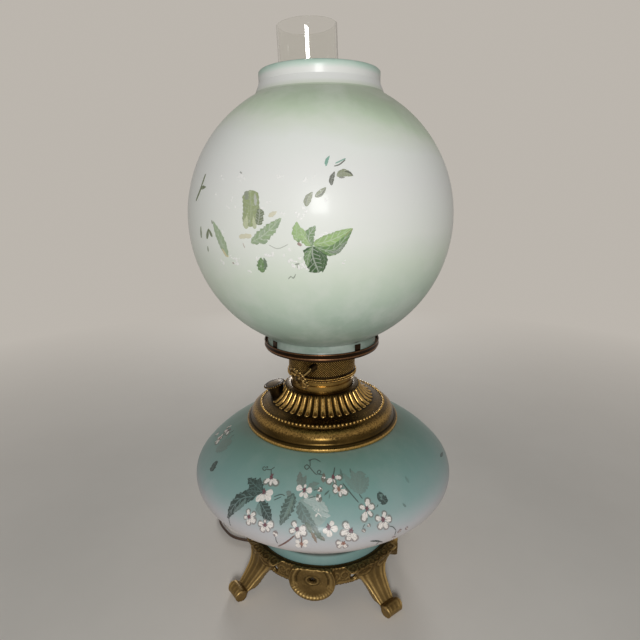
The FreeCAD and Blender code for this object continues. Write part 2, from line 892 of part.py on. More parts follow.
wick_inner = draft_tube_radius + wick_clearance
wick_outer = wick_inner + wick_thickness
wick_tube_inner = wick_outer + wick_clearance
wick_tube_outer = wick_tube_inner + wick_tube_wall
drum_low = band_low + band_height
drum_top = drum_low + drum_height
gallery_low = drum_top + joint_gap
gallery_top = gallery_low + gallery_thickness
wick_top = gallery_top + wick_tube_rise
deck_low = band_low - deck_thickness

# Wick drive: places along the shaft's line
key_turn = math.radians(key_azimuth)
key_side = FreeCAD.Vector(-math.sin(key_turn), math.cos(key_turn), 0)
key_out = FreeCAD.Vector(math.cos(key_turn), math.sin(key_turn), 0)
slope = math.radians(key_slope)
shaft_way = key_out * math.cos(slope) - UP * math.sin(slope)
mesh_way = key_side * -1
climb_way = key_out * math.sin(slope) + UP * math.cos(slope)


def on_shaft(reach):
    """A point of the shaft's line by its level reach along the chord."""
    level = key_side * key_chord + key_out * reach
    return level + UP * (drum_low + key_rise + (key_reach - reach) * math.tan(slope))


def in_mesh_frame(shape, centre):
    """Moves a shape made with X to the rack, Y along the shaft and Z up the teeth."""
    result = shape.copy()
    matrix = FreeCAD.Matrix(
        mesh_way.x, shaft_way.x, climb_way.x, centre.x,
        mesh_way.y, shaft_way.y, climb_way.y, centre.y,
        mesh_way.z, shaft_way.z, climb_way.z, centre.z,
    )
    result.Placement = FreeCAD.Placement(matrix)
    return result


tooth_pitch = 2 * math.pi * pinion_pitch_radius / pinion_teeth
pinion_centre = on_shaft(pinion_reach)
rack_face = pinion_pitch_radius + tooth_root
rack_back = rack_face + rack_thickness
rack_middle = pinion_centre + mesh_way * ((rack_face + rack_back) / 2)
carrier_low = wick_top - wick_tube_length - wick_travel - carrier_gap_below_tube - carrier_collar_height
carrier_low = carrier_low - carrier_flange_thickness
rack_high = pinion_centre.z + rack_margin + tooth_pitch
print(f"drum at {drum_low:.4f}, rod top at {rod_high:.4f}, pinion at {pinion_centre}")
print(f"rack rod at radius {math.hypot(rack_middle.x, rack_middle.y):.1f}, top {rack_high:.1f}")


def upright_bar(near, far, width, low, high):
    """A bar beside the pinion from near to far towards the axis, upright from low to high."""
    centre = FreeCAD.Vector(pinion_centre.x, pinion_centre.y, 0)
    corners = []
    for reach, side in ((near, -1), (far, -1), (far, 1), (near, 1)):
        corners.append(centre + mesh_way * reach + key_out * (side * width / 2) + UP * low)
    face = Part.Face(Part.makePolygon(corners + [corners[0]]))
    return face.extrude(UP * (high - low))


def make_rack():
    low = carrier_low
    rod = upright_bar(rack_face, rack_back, rack_width, low, rack_high)
    tip = rack_face - tooth_root - tooth_height
    zone = upright_bar(tip, rack_face + tooth_root, rack_width, low, rack_high)
    first = -int(round(wick_travel / tooth_pitch)) - 3
    half_tip = rack_tip_share * tooth_pitch
    half_base = rack_base_share * tooth_pitch
    teeth = []
    for index in range(first, 2):
        middle = (index + 0.5) * tooth_pitch
        corners = [
            (tip, middle - half_tip), (tip, middle + half_tip),
            (rack_face, middle + half_base), (rack_face + tooth_root / 2, middle + half_base),
            (rack_face + tooth_root / 2, middle - half_base), (rack_face, middle - half_base),
        ]
        points = [FreeCAD.Vector(x, -rack_width, z) for x, z in corners]
        face = Part.Face(Part.makePolygon(points + [points[0]]))
        prism = face.extrude(FreeCAD.Vector(0, 2 * rack_width, 0))
        # The teeth lie along the sloping shaft but are stepped straight up the rod.
        drift = UP * (middle / math.cos(slope)) - climb_way * middle
        teeth.append(in_mesh_frame(prism, pinion_centre + drift).common(zone))
    return rod.multiFuse(teeth)


def make_pinion():
    core = Part.makeCylinder(
        pinion_pitch_radius - tooth_root,
        pinion_length,
        FreeCAD.Vector(0, -pinion_length / 2, 0),
        FreeCAD.Vector(0, 1, 0),
    )
    inner = (pinion_pitch_radius - tooth_root) * math.cos(math.pi / pinion_teeth)
    outer = pinion_pitch_radius + tooth_height
    half_tip = pinion_tip_share * tooth_pitch
    half_base = pinion_base_share * tooth_pitch
    corners = [(inner, -half_base), (outer, -half_tip), (outer, half_tip), (inner, half_base)]
    points = [FreeCAD.Vector(x, -pinion_length / 2, z) for x, z in corners]
    tooth = Part.Face(Part.makePolygon(points + [points[0]])).extrude(FreeCAD.Vector(0, pinion_length, 0))
    teeth = []
    for index in range(pinion_teeth):
        copy = tooth.copy()
        copy.rotate(ORIGIN, FreeCAD.Vector(0, 1, 0), index * FULL_TURN / pinion_teeth)
        teeth.append(copy)
    bore = Part.makeCylinder(
        shaft_radius,
        pinion_length + 2 * over,
        FreeCAD.Vector(0, -pinion_length / 2 - over, 0),
        FreeCAD.Vector(0, 1, 0),
    )
    return in_mesh_frame(core.multiFuse(teeth).cut(bore), pinion_centre)


def along_shaft(radius, inner_reach, outer_reach, bore=0.0):
    """A round piece on the shaft's line between two level reaches."""
    start = on_shaft(inner_reach)
    length = (outer_reach - inner_reach) / math.cos(slope)
    return placed(tube(radius, bore, 0, length), start, shaft_way)


half_pinion = pinion_length / 2 * math.cos(slope)
bushing_bore = shaft_radius + shaft_clearance
bushing_hole = along_shaft(bushing_radius + neck_gap, bushing_inner_reach - over, bushing_outer_reach + over)
save("rack_rod", make_rack())
save("pinion", make_pinion())
save("key_bushing", along_shaft(bushing_radius, bushing_inner_reach, bushing_outer_reach, bushing_bore))


def make_wick_key():
    """Openwork thumb wheel: rim, hub and curved spokes, made about +Z."""
    rim_reach = key_wheel_radius - key_rim_radius
    body = Part.makeTorus(rim_reach, key_rim_radius)
    hub = tube(key_hub_radius, shaft_radius, -key_hub_length / 2, key_hub_length / 2)
    body = body.fuse(hub)
    for index in range(key_spoke_count):
        spoke = Part.makeCylinder(
            key_spoke_radius,
            rim_reach - key_hub_radius + key_rim_radius / 2,
            FreeCAD.Vector(key_hub_radius - key_rim_radius / 2, 0, 0),
            FreeCAD.Vector(1, 0, 0),
        )
        spoke.rotate(ORIGIN, UP, index * FULL_TURN / key_spoke_count)
        body = body.fuse(spoke)
    return placed(body, on_shaft(key_reach), shaft_way)


half_hub = key_hub_length / 2 * math.cos(slope)
save("key_shaft", along_shaft(shaft_radius, pinion_reach - half_pinion, key_reach + half_hub))
save("wick_key", make_wick_key())

# Wick, its carrier and the tubes on each side of it
wick_low = carrier_low + carrier_flange_thickness
save("wick", tube(wick_outer, wick_inner, wick_low, wick_top))
collar_ring = tube(wick_outer + carrier_wall, wick_outer, wick_low, wick_low + carrier_collar_height)
carrier = tube(carrier_flange_radius, wick_inner, carrier_low, wick_low).fuse(collar_ring)
arm_near = rack_back
arm_far = rack_back + wick_tube_wall + carrier_flange_radius / 4
arm = upright_bar(arm_near, arm_far, rack_width, carrier_low, wick_low)
carrier = carrier.fuse(arm.cut(tube(carrier_flange_radius - over / 2, 0, carrier_low - over, wick_low + over)))
save("wick_carrier", carrier.cut(upright_bar(rack_face - over, rack_back, 2 * rack_width, carrier_low, wick_low)))
save("wick_tube", tube(wick_tube_outer, wick_tube_inner, wick_top - wick_tube_length, wick_top))
draft_low = tank_low - draft_tube_below
draft_inner = draft_tube_radius - draft_tube_wall
save("draft_tube", tube(draft_tube_radius, draft_inner, draft_low, wick_top))

# Burner neck with its deck, band, drum and gallery
rod_slot = upright_bar(
    rack_face - tooth_root - tooth_height - gallery_slot_clearance,
    rack_back + gallery_slot_clearance,
    rack_width + 2 * gallery_slot_clearance,
    deck_low - over,
    gallery_top + over,
)
neck = tube(neck_outer, neck_outer - neck_wall, neck_low_height, band_low)
deck = tube(neck_outer, wick_tube_outer + neck_gap, deck_low, band_low)
save("burner_neck", neck.fuse(deck).cut(rod_slot))
band_inner = neck_outer - neck_wall
save("burner_band", turned(
    (band_inner, band_low),
    (band_radius - band_height / 4, band_low),
    ((band_radius, band_low + band_height / 2), (band_radius - band_height / 4, drum_low)),
    (band_inner, drum_low),
))
drum = turned(
    (drum_radius, drum_low),
    (drum_radius, drum_top - drum_flange_thickness),
    (drum_flange_radius, drum_top - drum_flange_thickness),
    (drum_flange_radius, drum_top),
    (drum_radius - drum_wall, drum_top),
    (drum_radius - drum_wall, drum_low),
)
save("burner_drum", drum.cut(bushing_hole))

gallery_radius = skirt_inner_radius - lead_clearance
gallery = tube(gallery_radius, wick_tube_outer + neck_gap, gallery_low, gallery_top).cut(rod_slot)
hole_reach = (wick_tube_outer + chimney_foot_radius - chimney_wall) / 2
holes = []
for index in range(gallery_hole_count):
    azimuth = key_azimuth + (index + 0.5) * FULL_TURN / gallery_hole_count
    centre = polar(hole_reach, azimuth, gallery_low - over)
    if centre.sub(FreeCAD.Vector(rack_middle.x, rack_middle.y, centre.z)).Length > 2 * rack_width:
        holes.append(Part.makeCylinder(gallery_hole_radius, gallery_thickness + 2 * over, centre))
save("chimney_gallery", gallery.cut(Part.makeCompound(holes)))

prong_inner = chimney_foot_radius + prong_gap
prong = tube(prong_inner + prong_thickness, prong_inner, gallery_top, gallery_top + prong_height)
prong_window = Part.makeBox(2 * prong_inner, prong_width, 2 * prong_height)
prong_window.translate(FreeCAD.Vector(0, -prong_width / 2, gallery_top - over))
prong = prong.common(prong_window)
save("gallery_prongs", Part.makeCompound(around(prong, prong_count, FULL_TURN / prong_count / 2)))

# Lampholder on the draft tube, and the lead up to it
adaptor_top = wick_top + adaptor_thickness
nipple_hole = holder_nipple_radius + rod_clearance
adaptor = tube(draft_tube_radius, nipple_hole, wick_top, adaptor_top)
plug_ring = tube(draft_inner - joint_gap, draft_inner - joint_gap - draft_tube_wall, wick_top - adaptor_plug_depth, wick_top)
save("holder_adaptor", adaptor.fuse(plug_ring))
nut_top = wick_top - joint_gap
save("holder_nut", hexagon(nut_across_corners, nut_top - holder_nut_height, nut_top, nipple_hole))
holder_floor_top = adaptor_top + holder_floor
nipple_top = adaptor_top + holder_nipple_above
save("holder_nipple", tube(holder_nipple_radius, nipple_bore, wick_top - holder_nipple_below, nipple_top))
holder = turned(
    (nipple_hole, adaptor_top),
    (holder_radius, adaptor_top),
    (holder_radius, adaptor_top + holder_height),
    (holder_bore, adaptor_top + holder_height),
    (holder_bore, holder_floor_top),
    (nipple_hole, holder_floor_top),
)
save("lampholder_body", holder)
shell_low = holder_floor_top + joint_gap
shell_inner = shell_radius - shell_wall
shell = turned(
    (shell_radius, shell_low + shell_wall),
    (shell_radius, shell_low + shell_height),
    (shell_inner, shell_low + shell_height),
    (shell_inner, shell_low + 2 * shell_wall),
    (nipple_bore, shell_low + 2 * shell_wall),
    (nipple_bore, shell_low),
    (holder_bore - joint_gap, shell_low),
    (holder_bore - joint_gap, shell_low + shell_wall),
)
save("lampholder_shell", shell)
save("inner_lead", tube(cord_radius, 0, exit_height, nipple_top))

# Bulb in the lampholder
cap_foot = shell_low + 2 * shell_wall + bulb_contact_gap
cap_outer = shell_inner - shell_clearance
bulb_low = cap_foot + bulb_cap_height
bulb_cap = turned(
    (0.0, cap_foot),
    (cap_outer / 2, cap_foot),
    (cap_outer, cap_foot + cap_outer / 2),
    (cap_outer, bulb_low),
    (0.0, bulb_low),
)
save("bulb_cap", bulb_cap)
bulb_mid = bulb_low + bulb_widest_height
bulb_top = bulb_low + bulb_height
bulb_throat = bulb_low + bulb_throat_height
bulb_in_neck = bulb_neck_radius - bulb_wall
bulb_in_wide = bulb_radius - bulb_wall
fullness = 0.78
lower_outer = (
    bulb_throat_radius + (bulb_radius - bulb_throat_radius) * fullness,
    (bulb_throat + bulb_mid) / 2,
)
upper_outer = (bulb_radius * fullness, (bulb_mid + bulb_top) / 2)
lower_inner = (lower_outer[0] - bulb_wall, lower_outer[1] + bulb_wall / 2)
upper_inner = (upper_outer[0] - bulb_wall, upper_outer[1] - bulb_wall / 2)
save("bulb_glass", turned(
    (bulb_neck_radius, bulb_low),
    (bulb_throat_radius, bulb_throat),
    (lower_outer, (bulb_radius, bulb_mid)),
    (upper_outer, (bulb_tip_radius, bulb_top)),
    (0.0, bulb_top),
    (0.0, bulb_top - bulb_wall),
    (bulb_tip_radius, bulb_top - 2 * bulb_wall),
    (upper_inner, (bulb_in_wide, bulb_mid)),
    (lower_inner, (bulb_throat_radius - bulb_wall, bulb_throat)),
    (bulb_in_neck, bulb_low + bulb_wall),
    (filament_radius, bulb_low + bulb_wall),
    (filament_radius, bulb_low),
))
save("bulb_filament", tube(filament_radius * filament_foot_share, 0, bulb_low, bulb_low + filament_height))


def make_chimney():
    """Chimney made upright on its seat, then leaned about its lowest edge."""
    foot = gallery_top + chimney_seat_gap
    bulge = foot + chimney_bulge_height
    neck_foot = foot + chimney_neck_height
    top = foot + chimney_height
    wall = chimney_wall
    between = (chimney_bulge_radius + chimney_neck_radius) / 2
    middle = (bulge + neck_foot) / 2
    glass = turned(
        (chimney_foot_radius, foot),
        (chimney_foot_radius, foot + chimney_foot_height),
        (chimney_bulge_radius, bulge),
        (between, middle),
        (chimney_neck_radius, neck_foot),
        (chimney_top_radius, top),
        (chimney_top_radius - wall, top),
        (chimney_neck_radius - wall, neck_foot),
        (between - wall, middle),
        (chimney_bulge_radius - wall, bulge),
        (chimney_foot_radius - wall, foot + chimney_foot_height),
        (chimney_foot_radius - wall, foot),
    )
    edge = polar(chimney_foot_radius, chimney_lean_azimuth, foot)
    hinge = polar(1, chimney_lean_azimuth + FULL_TURN / 4, 0)
    glass.rotate(edge, hinge, chimney_lean)
    return glass


save("chimney", make_chimney())

# Shade ring: wall and floor, pierced dish, and spring tabs
skirt_low = drum_top + joint_gap
ring_low = skirt_low + ring_rise
ring_top = ring_low + ring_height
ring_inner = ring_radius - ring_wall
floor_inner = ring_inner - ring_floor_width
save("shade_ring", turned(
    (floor_inner, ring_low),
    (ring_radius, ring_low),
    (ring_radius, ring_top),
    (ring_inner, ring_top),
    (ring_inner, ring_low + ring_wall),
    (floor_inner, ring_low + ring_wall),
))
dish_inner = skirt_inner_radius + skirt_land
dish_top = ring_low - joint_gap
dish = turned(
    (skirt_inner_radius, skirt_low),
    (dish_inner, skirt_low),
    (ring_inner, dish_top - skirt_thickness),
    (ring_inner, dish_top),
    (ring_inner - skirt_land, dish_top),
    (dish_inner, skirt_low + skirt_thickness),
    (skirt_inner_radius, skirt_low + skirt_thickness),
)
dish_holes = []
for share in (0.36, 0.66):
    reach = dish_inner + share * (ring_inner - dish_inner)
    hole = Part.makeCylinder(skirt_hole_radius, 2 * ring_rise, FreeCAD.Vector(reach, 0, skirt_low - over))
    dish_holes += around(hole, skirt_hole_count)
save("shade_ring_skirt", dish.cut(Part.makeCompound(dish_holes)))
tab_inner = shade_lip_radius + (ring_inner - shade_lip_radius - tab_thickness) / 2
tab = tube(tab_inner + tab_thickness, tab_inner, ring_low + ring_wall, ring_low + ring_wall + tab_height)
tab_window = Part.makeBox(2 * ring_radius, tab_width, 2 * tab_height)
tab_window.translate(FreeCAD.Vector(0, -tab_width / 2, ring_low))
save("shade_ring_tabs", Part.makeCompound(around(tab.common(tab_window), tab_count, FULL_TURN / tab_count / 2)))


def make_shade():
    lip_low = ring_low + ring_wall + shade_seat_gap
    lip_top = lip_low + shade_lip_height
    neck_top = lip_top + shade_neck_height
    centre = (0.0, neck_top + math.sqrt(shade_radius ** 2 - shade_neck_radius ** 2))
    inner = shade_radius - shade_wall
    collar_inner = shade_collar_radius - shade_wall
    neck_inner = shade_neck_radius - shade_wall
    outer_low = math.degrees(math.acos(shade_neck_radius / shade_radius))
    outer_high = math.degrees(math.acos(shade_collar_radius / shade_radius))
    inner_high = math.degrees(math.acos(collar_inner / inner))
    inner_low = math.degrees(math.acos(neck_inner / inner))
    collar_top = on_arc(centre, shade_radius, outer_high)[1] + shade_collar_height
    print(f"shade: centre at {centre[1]:.1f}, collar top at {collar_top:.1f}")
    return turned(
        (shade_lip_radius, lip_low),
        (shade_lip_radius, lip_top),
        on_arc(centre, shade_radius, -outer_low),
        (on_arc(centre, shade_radius, 0), on_arc(centre, shade_radius, outer_high)),
        (shade_collar_radius, collar_top),
        (collar_inner, collar_top),
        on_arc(centre, inner, inner_high),
        (on_arc(centre, inner, 0), on_arc(centre, inner, -inner_low)),
        (shade_lip_radius - shade_wall, lip_top),
        (shade_lip_radius - shade_wall, lip_low),
    )


save("shade", make_shade())
total = made["chimney"].BoundBox.ZMax
print(f"nodes {len(made)}, height {total:.1f}, wick step per turn {2 * math.pi * pinion_pitch_radius / math.cos(slope):.3f}")
print("filler axis", filler_axis, "key shaft", shaft_way, "pinion", pinion_centre)
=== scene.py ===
# %% [markdown]
# A parlour lamp with a painted ball shade. It burned oil once and now holds a small bulb.
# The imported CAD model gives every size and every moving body. This lesson dresses it: some
# CAD solids only get a finish, and those with carving, ribs or painting get a finer mesh.

# %% Load the frame
import math
from contextlib import contextmanager

import bmesh
import bpy
import numpy as np
from mathutils import Matrix, Vector


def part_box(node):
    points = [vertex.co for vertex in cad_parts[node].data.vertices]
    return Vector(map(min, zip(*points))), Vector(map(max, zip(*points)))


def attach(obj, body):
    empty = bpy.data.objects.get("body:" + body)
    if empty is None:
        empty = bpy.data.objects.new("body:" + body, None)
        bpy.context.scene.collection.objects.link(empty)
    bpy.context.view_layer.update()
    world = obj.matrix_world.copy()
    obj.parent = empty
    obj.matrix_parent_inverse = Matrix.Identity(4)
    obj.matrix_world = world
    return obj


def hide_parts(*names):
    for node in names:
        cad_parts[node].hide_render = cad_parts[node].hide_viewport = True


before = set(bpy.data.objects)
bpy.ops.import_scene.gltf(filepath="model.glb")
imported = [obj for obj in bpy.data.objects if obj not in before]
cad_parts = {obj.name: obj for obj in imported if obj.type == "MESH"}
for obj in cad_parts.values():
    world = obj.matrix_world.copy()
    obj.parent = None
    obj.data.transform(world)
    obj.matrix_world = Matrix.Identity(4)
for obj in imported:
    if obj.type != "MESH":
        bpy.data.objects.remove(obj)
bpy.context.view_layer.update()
scene = bpy.context.scene
MM = 0.001
TURN = 2 * math.pi


def new_object(name, data):
    """Puts a mesh, a curve, a lamp or a camera in the scene."""
    made = bpy.data.objects.new(name, data)
    scene.collection.objects.link(made)
    return made


# %% [markdown]
# The camera stands where the photographer stood: a little to the right of the foot's front,
# and looking down. Its distance and lens were fitted to the round edges in the photograph,
# which are circles of known height.

# %% Camera
camera_turn, camera_dip, camera_roll = (math.radians(angle) for angle in (8.2, 15.285, -0.544))
camera_reach = 443.6 * MM
camera_height = 377.1 * MM
camera_aside = -1.4 * MM
focal_pixels = 488.75
frame_pixels = 640

camera_data = bpy.data.cameras.new("camera")
camera_data.sensor_width = 36.0
camera_data.lens = focal_pixels / frame_pixels * camera_data.sensor_width
camera_data.clip_start = 0.01
camera = new_object("camera", camera_data)
standing = Matrix.Translation((camera_aside, -camera_reach, camera_height))
tilt = Matrix.Rotation(math.pi / 2 - camera_dip, 4, "X") @ Matrix.Rotation(camera_roll, 4, "Z")
camera.matrix_world = Matrix.Rotation(camera_turn, 4, "Z") @ standing @ tilt
scene.camera = camera
print("lens", round(camera_data.lens, 2), "mm")

# %% [markdown]
# Everything that glows, shines or reflects is written as a tree of nodes. A small helper
# keeps that short: each of its methods adds one node and gives back what comes out of it.


# %% Node helpers
class Graph:
    """A node tree to write in. Inputs are given by name, with _ for a space."""

    def __init__(self, tree):
        self.tree, self.nodes, self.links = tree, tree.nodes, tree.links

    def feed(self, socket, value):
        """Links a socket to another one, or gives it a plain value."""
        if isinstance(value, bpy.types.NodeSocket):
            self.links.new(value, socket)
        else:
            socket.default_value = (*value[:3], 1.0) if socket.type == "RGBA" else value

    def put(self, node, **values):
        for key, value in values.items():
            self.feed(node.inputs[key.replace("_", " ")], value)

    def add(self, kind, **values):
        """Adds a node with these inputs and gives its outputs."""
        node = self.nodes.new(kind)
        self.put(node, **values)
        return node.outputs

    def math(self, operation, first, second=0.0, clamp=False):
        node = self.nodes.new("ShaderNodeMath")
        node.operation, node.use_clamp = operation, clamp
        self.feed(node.inputs[0], first)
        self.feed(node.inputs[1], second)
        return node.outputs[0]

    def plus(self, first, second):
        return self.math("ADD", first, second)

    def minus(self, first, second):
        return self.math("SUBTRACT", first, second)

    def times(self, first, second):
        return self.math("MULTIPLY", first, second)

    def span(self, value, low, high, to_low=0.0, to_high=1.0):
        """Brings low to high into another range, and holds what lies outside it."""
        values = {"Value": value, "From_Min": low, "From_Max": high, "To_Min": to_low, "To_Max": to_high}
        return self.add("ShaderNodeMapRange", **values)["Result"]

    def mix(self, factor, first, second):
        node = self.nodes.new("ShaderNodeMix")
        node.data_type = "RGBA"
        for number, value in ((0, factor), (6, first), (7, second)):
            self.feed(node.inputs[number], value)
        return node.outputs[2]

    def mix_shaders(self, factor, first, second):
        node = self.nodes.new("ShaderNodeMixShader")
        for number, value in enumerate((factor, first, second)):
            self.feed(node.inputs[number], value)
        return node.outputs[0]

    def attribute(self, name):
        node = self.nodes.new("ShaderNodeAttribute")
        node.attribute_name = name
        return node.outputs

    def group(self, tree, **values):
        node = self.nodes.new("ShaderNodeGroup")
        node.node_tree = tree
        self.put(node, **values)
        return node.outputs

    def bump(self, shader, height, strength, distance):
        normal = self.add("ShaderNodeBump", Height=height, Strength=strength, Distance=distance * MM)
        self.put(shader, Normal=normal["Normal"])

    def seen_directly(self):
        """1 for the camera's rays, and for those that metal and glass send on."""
        path = self.add("ShaderNodeLightPath")
        reflected = self.math("MAXIMUM", path["Is Camera Ray"], path["Is Glossy Ray"])
        return self.math("MAXIMUM", reflected, path["Is Transmission Ray"])


def new_material(name):
    """A material, its graph and its Principled shader."""
    material = bpy.data.materials.new(name)
    material.use_nodes = True
    graph = Graph(material.node_tree)
    return material, graph, graph.nodes["Principled BSDF"]


def new_group(name, inputs, outputs, kind="ShaderNodeTree"):
    """A node group from the types of its named sockets: its graph, inputs and outputs."""
    group = bpy.data.node_groups.new(name, kind)
    for way, sockets in (("INPUT", inputs), ("OUTPUT", outputs)):
        for label, form in sockets.items():
            group.interface.new_socket(label, in_out=way, socket_type="NodeSocket" + form)
    graph = Graph(group)
    return graph, graph.add("NodeGroupInput"), graph.nodes.new("NodeGroupOutput").inputs


# %% [markdown]
# The photograph was lit from beside the camera, so the lamp's sides fall off into shade. One
# soft box does that here, with a weaker one behind. The world is a plain pale grey, and the
# floor takes on the world's colour further out, so that no dark horizon shows.


# %% Lights and world
def area_light(name, place, size, power):
    """A square soft box that faces the lamp's middle."""
    data = bpy.data.lights.new(name, "AREA")
    data.size, data.energy = size, power
    aim = Vector((0, 0, 0.25)) - Vector(place)
    turned = aim.to_track_quat("-Z", "Y").to_matrix().to_4x4()
    new_object(name, data).matrix_world = Matrix.Translation(place) @ turned


area_light("front_softbox", (0.16, -1.24, 0.68), 0.30, 9.9)
area_light("back_fill", (-0.25, 1.45, 0.42), 0.45, 8.0)
scene.view_settings.view_transform = "Standard"
backdrop_colour = (0.50, 0.465, 0.42)

world = bpy.data.worlds.new("studio")
scene.world = world
world.use_nodes = True
graph = Graph(world.node_tree)
graph.nodes.clear()
lighting = graph.add("ShaderNodeBackground", Color=(0.86, 0.86, 0.84), Strength=0.075)
backdrop = graph.add("ShaderNodeBackground", Color=backdrop_colour)
surface = graph.mix_shaders(graph.seen_directly(), lighting[0], backdrop[0])
graph.add("ShaderNodeOutputWorld", Surface=surface)
print("lights", [light.name for light in bpy.data.lights])

# %% [markdown]
# Finishes. Each metal, glass and paint is one material. What several of them share, such as
# the clouds of tarnish on brass, is a node group that gives out only masks and values.


# %% Clouds: soft patches at two sizes
def make_clouds():
    sizes = {"Scale": "Float", "Contrast": "Float"}
    graph, given, result = new_group("clouds", sizes, {"Mask": "Float", "Fine": "Float"})
    place = graph.add("ShaderNodeTexCoord")["Object"]
    broad = graph.add("ShaderNodeTexNoise", Vector=place, Scale=given["Scale"], Detail=4.0, Roughness=0.6)
    fine_scale = graph.times(given["Scale"], 9.0)
    fine = graph.add("ShaderNodeTexNoise", Vector=place, Scale=fine_scale, Detail=3.0, Roughness=0.7)
    spread = graph.times(graph.minus(broad["Fac"], 0.5), given["Contrast"])
    graph.feed(result["Mask"], graph.math("ADD", spread, 0.5, clamp=True))
    graph.feed(result["Fine"], fine["Fac"])
    return graph.tree


clouds = make_clouds()
print("group", clouds.name)

# %% [markdown]
# Old brass is dark where hands and cloths don't reach, and golden on its high spots. A
# number kept in the mesh, relief, says which is which: above 0 is rubbed bright and also a
# painted highlight, below 0 is a dirty hollow and also painted shade. A CAD node has no such
# number, so it counts as 0 all over.


# %% Brass
def make_brass(name, deep, middle, bright, roughness):
    material, graph, shader = new_material(name)
    cloud = graph.group(clouds, Scale=70.0, Contrast=2.4)
    relief = graph.attribute("relief")["Fac"]
    grain = graph.span(cloud["Fine"], 0.3, 0.7, -0.32, 0.14)
    # Bright where the relief is high: rubbed brass and a painted highlight.
    worn = graph.span(graph.plus(relief, grain), 0.05, 0.95)
    # Dark where the relief is low: dirt in the hollows and painted shade.
    sunk = graph.span(relief, -0.05, -0.9)
    metal = graph.mix(worn, graph.mix(cloud["Mask"], deep, middle), bright)
    colour = graph.mix(sunk, metal, [0.22 * part for part in deep])
    rough = graph.span(cloud["Fine"], 0.2, 0.8, roughness - 0.08, roughness + 0.12)
    rough = graph.plus(rough, graph.times(sunk, 0.3))
    graph.put(shader, Base_Color=colour, Metallic=1.0, Roughness=rough)
    graph.bump(shader, cloud["Fine"], 0.2, 0.3)
    return material


burner_brass = make_brass("burner_brass", (0.050, 0.031, 0.009), (0.110, 0.067, 0.019), (0.72, 0.45, 0.14), 0.28)
foot_brass = make_brass("foot_brass", (0.16, 0.103, 0.037), (0.30, 0.20, 0.075), (0.49, 0.34, 0.135), 0.45)
plain_brass = make_brass("plain_brass", (0.36, 0.25, 0.10), (0.52, 0.37, 0.15), (0.75, 0.58, 0.28), 0.28)
dark_brass = make_brass("dark_brass", (0.020, 0.013, 0.006), (0.048, 0.030, 0.012), (0.60, 0.39, 0.14), 0.31)
collar_brass = make_brass("collar_brass", (0.20, 0.12, 0.035), (0.38, 0.24, 0.07), (0.75, 0.50, 0.17), 0.26)
ring_brass = make_brass("ring_brass", (0.025, 0.014, 0.008), (0.050, 0.028, 0.014), (0.30, 0.15, 0.075), 0.32)
zinc = make_brass("zinc", (0.34, 0.33, 0.30), (0.50, 0.49, 0.46), (0.66, 0.65, 0.62), 0.38)
print("brass", burner_brass.name, foot_brass.name, plain_brass.name, dark_brass.name)


# %% Clear glass for the chimney and the bulb, with painted shade where it is seen edge on
def make_clear_glass():
    material, graph, shader = new_material("clear_glass")
    rough = graph.span(graph.group(clouds, Scale=40.0, Contrast=1.6)["Mask"], 0.45, 1.0, 0.0, 0.06)
    # Darker colour at grazing angles: painted shade for the dark rim that thick glass shows.
    edge = graph.span(graph.add("ShaderNodeLayerWeight")["Facing"], 0.70, 0.98)
    colour = graph.mix(edge, (0.92, 0.92, 0.90), (0.38, 0.37, 0.34))
    graph.put(shader, Base_Color=colour, Roughness=rough, Transmission_Weight=1.0, IOR=1.46)
    return material


clear_glass = make_clear_glass()


# %% Plain finishes that need only small changes of tone
def make_mottled(name, first, second, roughness, scale, grain=0.1, metallic=0.0):
    material, graph, shader = new_material(name)
    cloud = graph.group(clouds, Scale=scale, Contrast=2.0)
    rough = graph.span(cloud["Fine"], 0.2, 0.8, roughness - 0.06, roughness + 0.06)
    graph.put(shader, Base_Color=graph.mix(cloud["Mask"], first, second), Roughness=rough, Metallic=metallic)
    graph.bump(shader, cloud["Fine"], grain, 0.2)
    return material


black_rubber = make_mottled("black_rubber", (0.018, 0.018, 0.018), (0.032, 0.031, 0.030), 0.7, 200.0)
cork = make_mottled("cork", (0.30, 0.18, 0.09), (0.55, 0.38, 0.22), 0.8, 260.0, 0.5)
cotton = make_mottled("cotton", (0.62, 0.56, 0.44), (0.78, 0.73, 0.62), 0.9, 400.0, 0.6)
cord_cover = make_mottled("cord_cover", (0.045, 0.024, 0.014), (0.075, 0.040, 0.022), 0.45, 120.0)
phenolic = make_mottled("phenolic", (0.022, 0.014, 0.010), (0.045, 0.028, 0.018), 0.35, 90.0)
filament_metal = make_mottled("filament_metal", (0.30, 0.29, 0.27), (0.42, 0.41, 0.39), 0.4, 90.0, 0.1, 1.0)
floor_cloth = make_mottled("floor_cloth", (0.78, 0.74, 0.68), (0.83, 0.79, 0.73), 0.9, 6.0, 0.02)
print("materials", len(bpy.data.materials))


# %% Floor: cloth near the lamp, and the world's own colour far away
def fade_to_backdrop(material, near, far):
    graph = Graph(material.node_tree)
    reach = graph.nodes.new("ShaderNodeVectorMath")
    reach.operation = "LENGTH"
    graph.feed(reach.inputs[0], graph.add("ShaderNodeTexCoord")["Object"])
    share = graph.times(graph.span(reach.outputs["Value"], near, far), graph.seen_directly())
    glow = graph.add("ShaderNodeEmission", Color=backdrop_colour)
    cloth = graph.nodes["Principled BSDF"].outputs[0]
    graph.put(graph.nodes["Material Output"], Surface=graph.mix_shaders(share, cloth, glow[0]))


@contextmanager
def forming(mesh):
    """Opens a mesh to bmesh's operators, and then writes back what they did."""
    form = bmesh.new()
    form.from_mesh(mesh)
    yield form
    form.to_mesh(mesh)
    form.free()


fade_to_backdrop(floor_cloth, 0.30, 1.10)
floor_radius = 4.0
floor_mesh = bpy.data.meshes.new("floor")
with forming(floor_mesh) as form:
    bmesh.ops.create_circle(form, cap_ends=True, segments=96, radius=floor_radius)
floor_mesh.materials.append(floor_cloth)
floor = new_object("floor", floor_mesh)
print("floor across", 2 * floor_radius, "m")

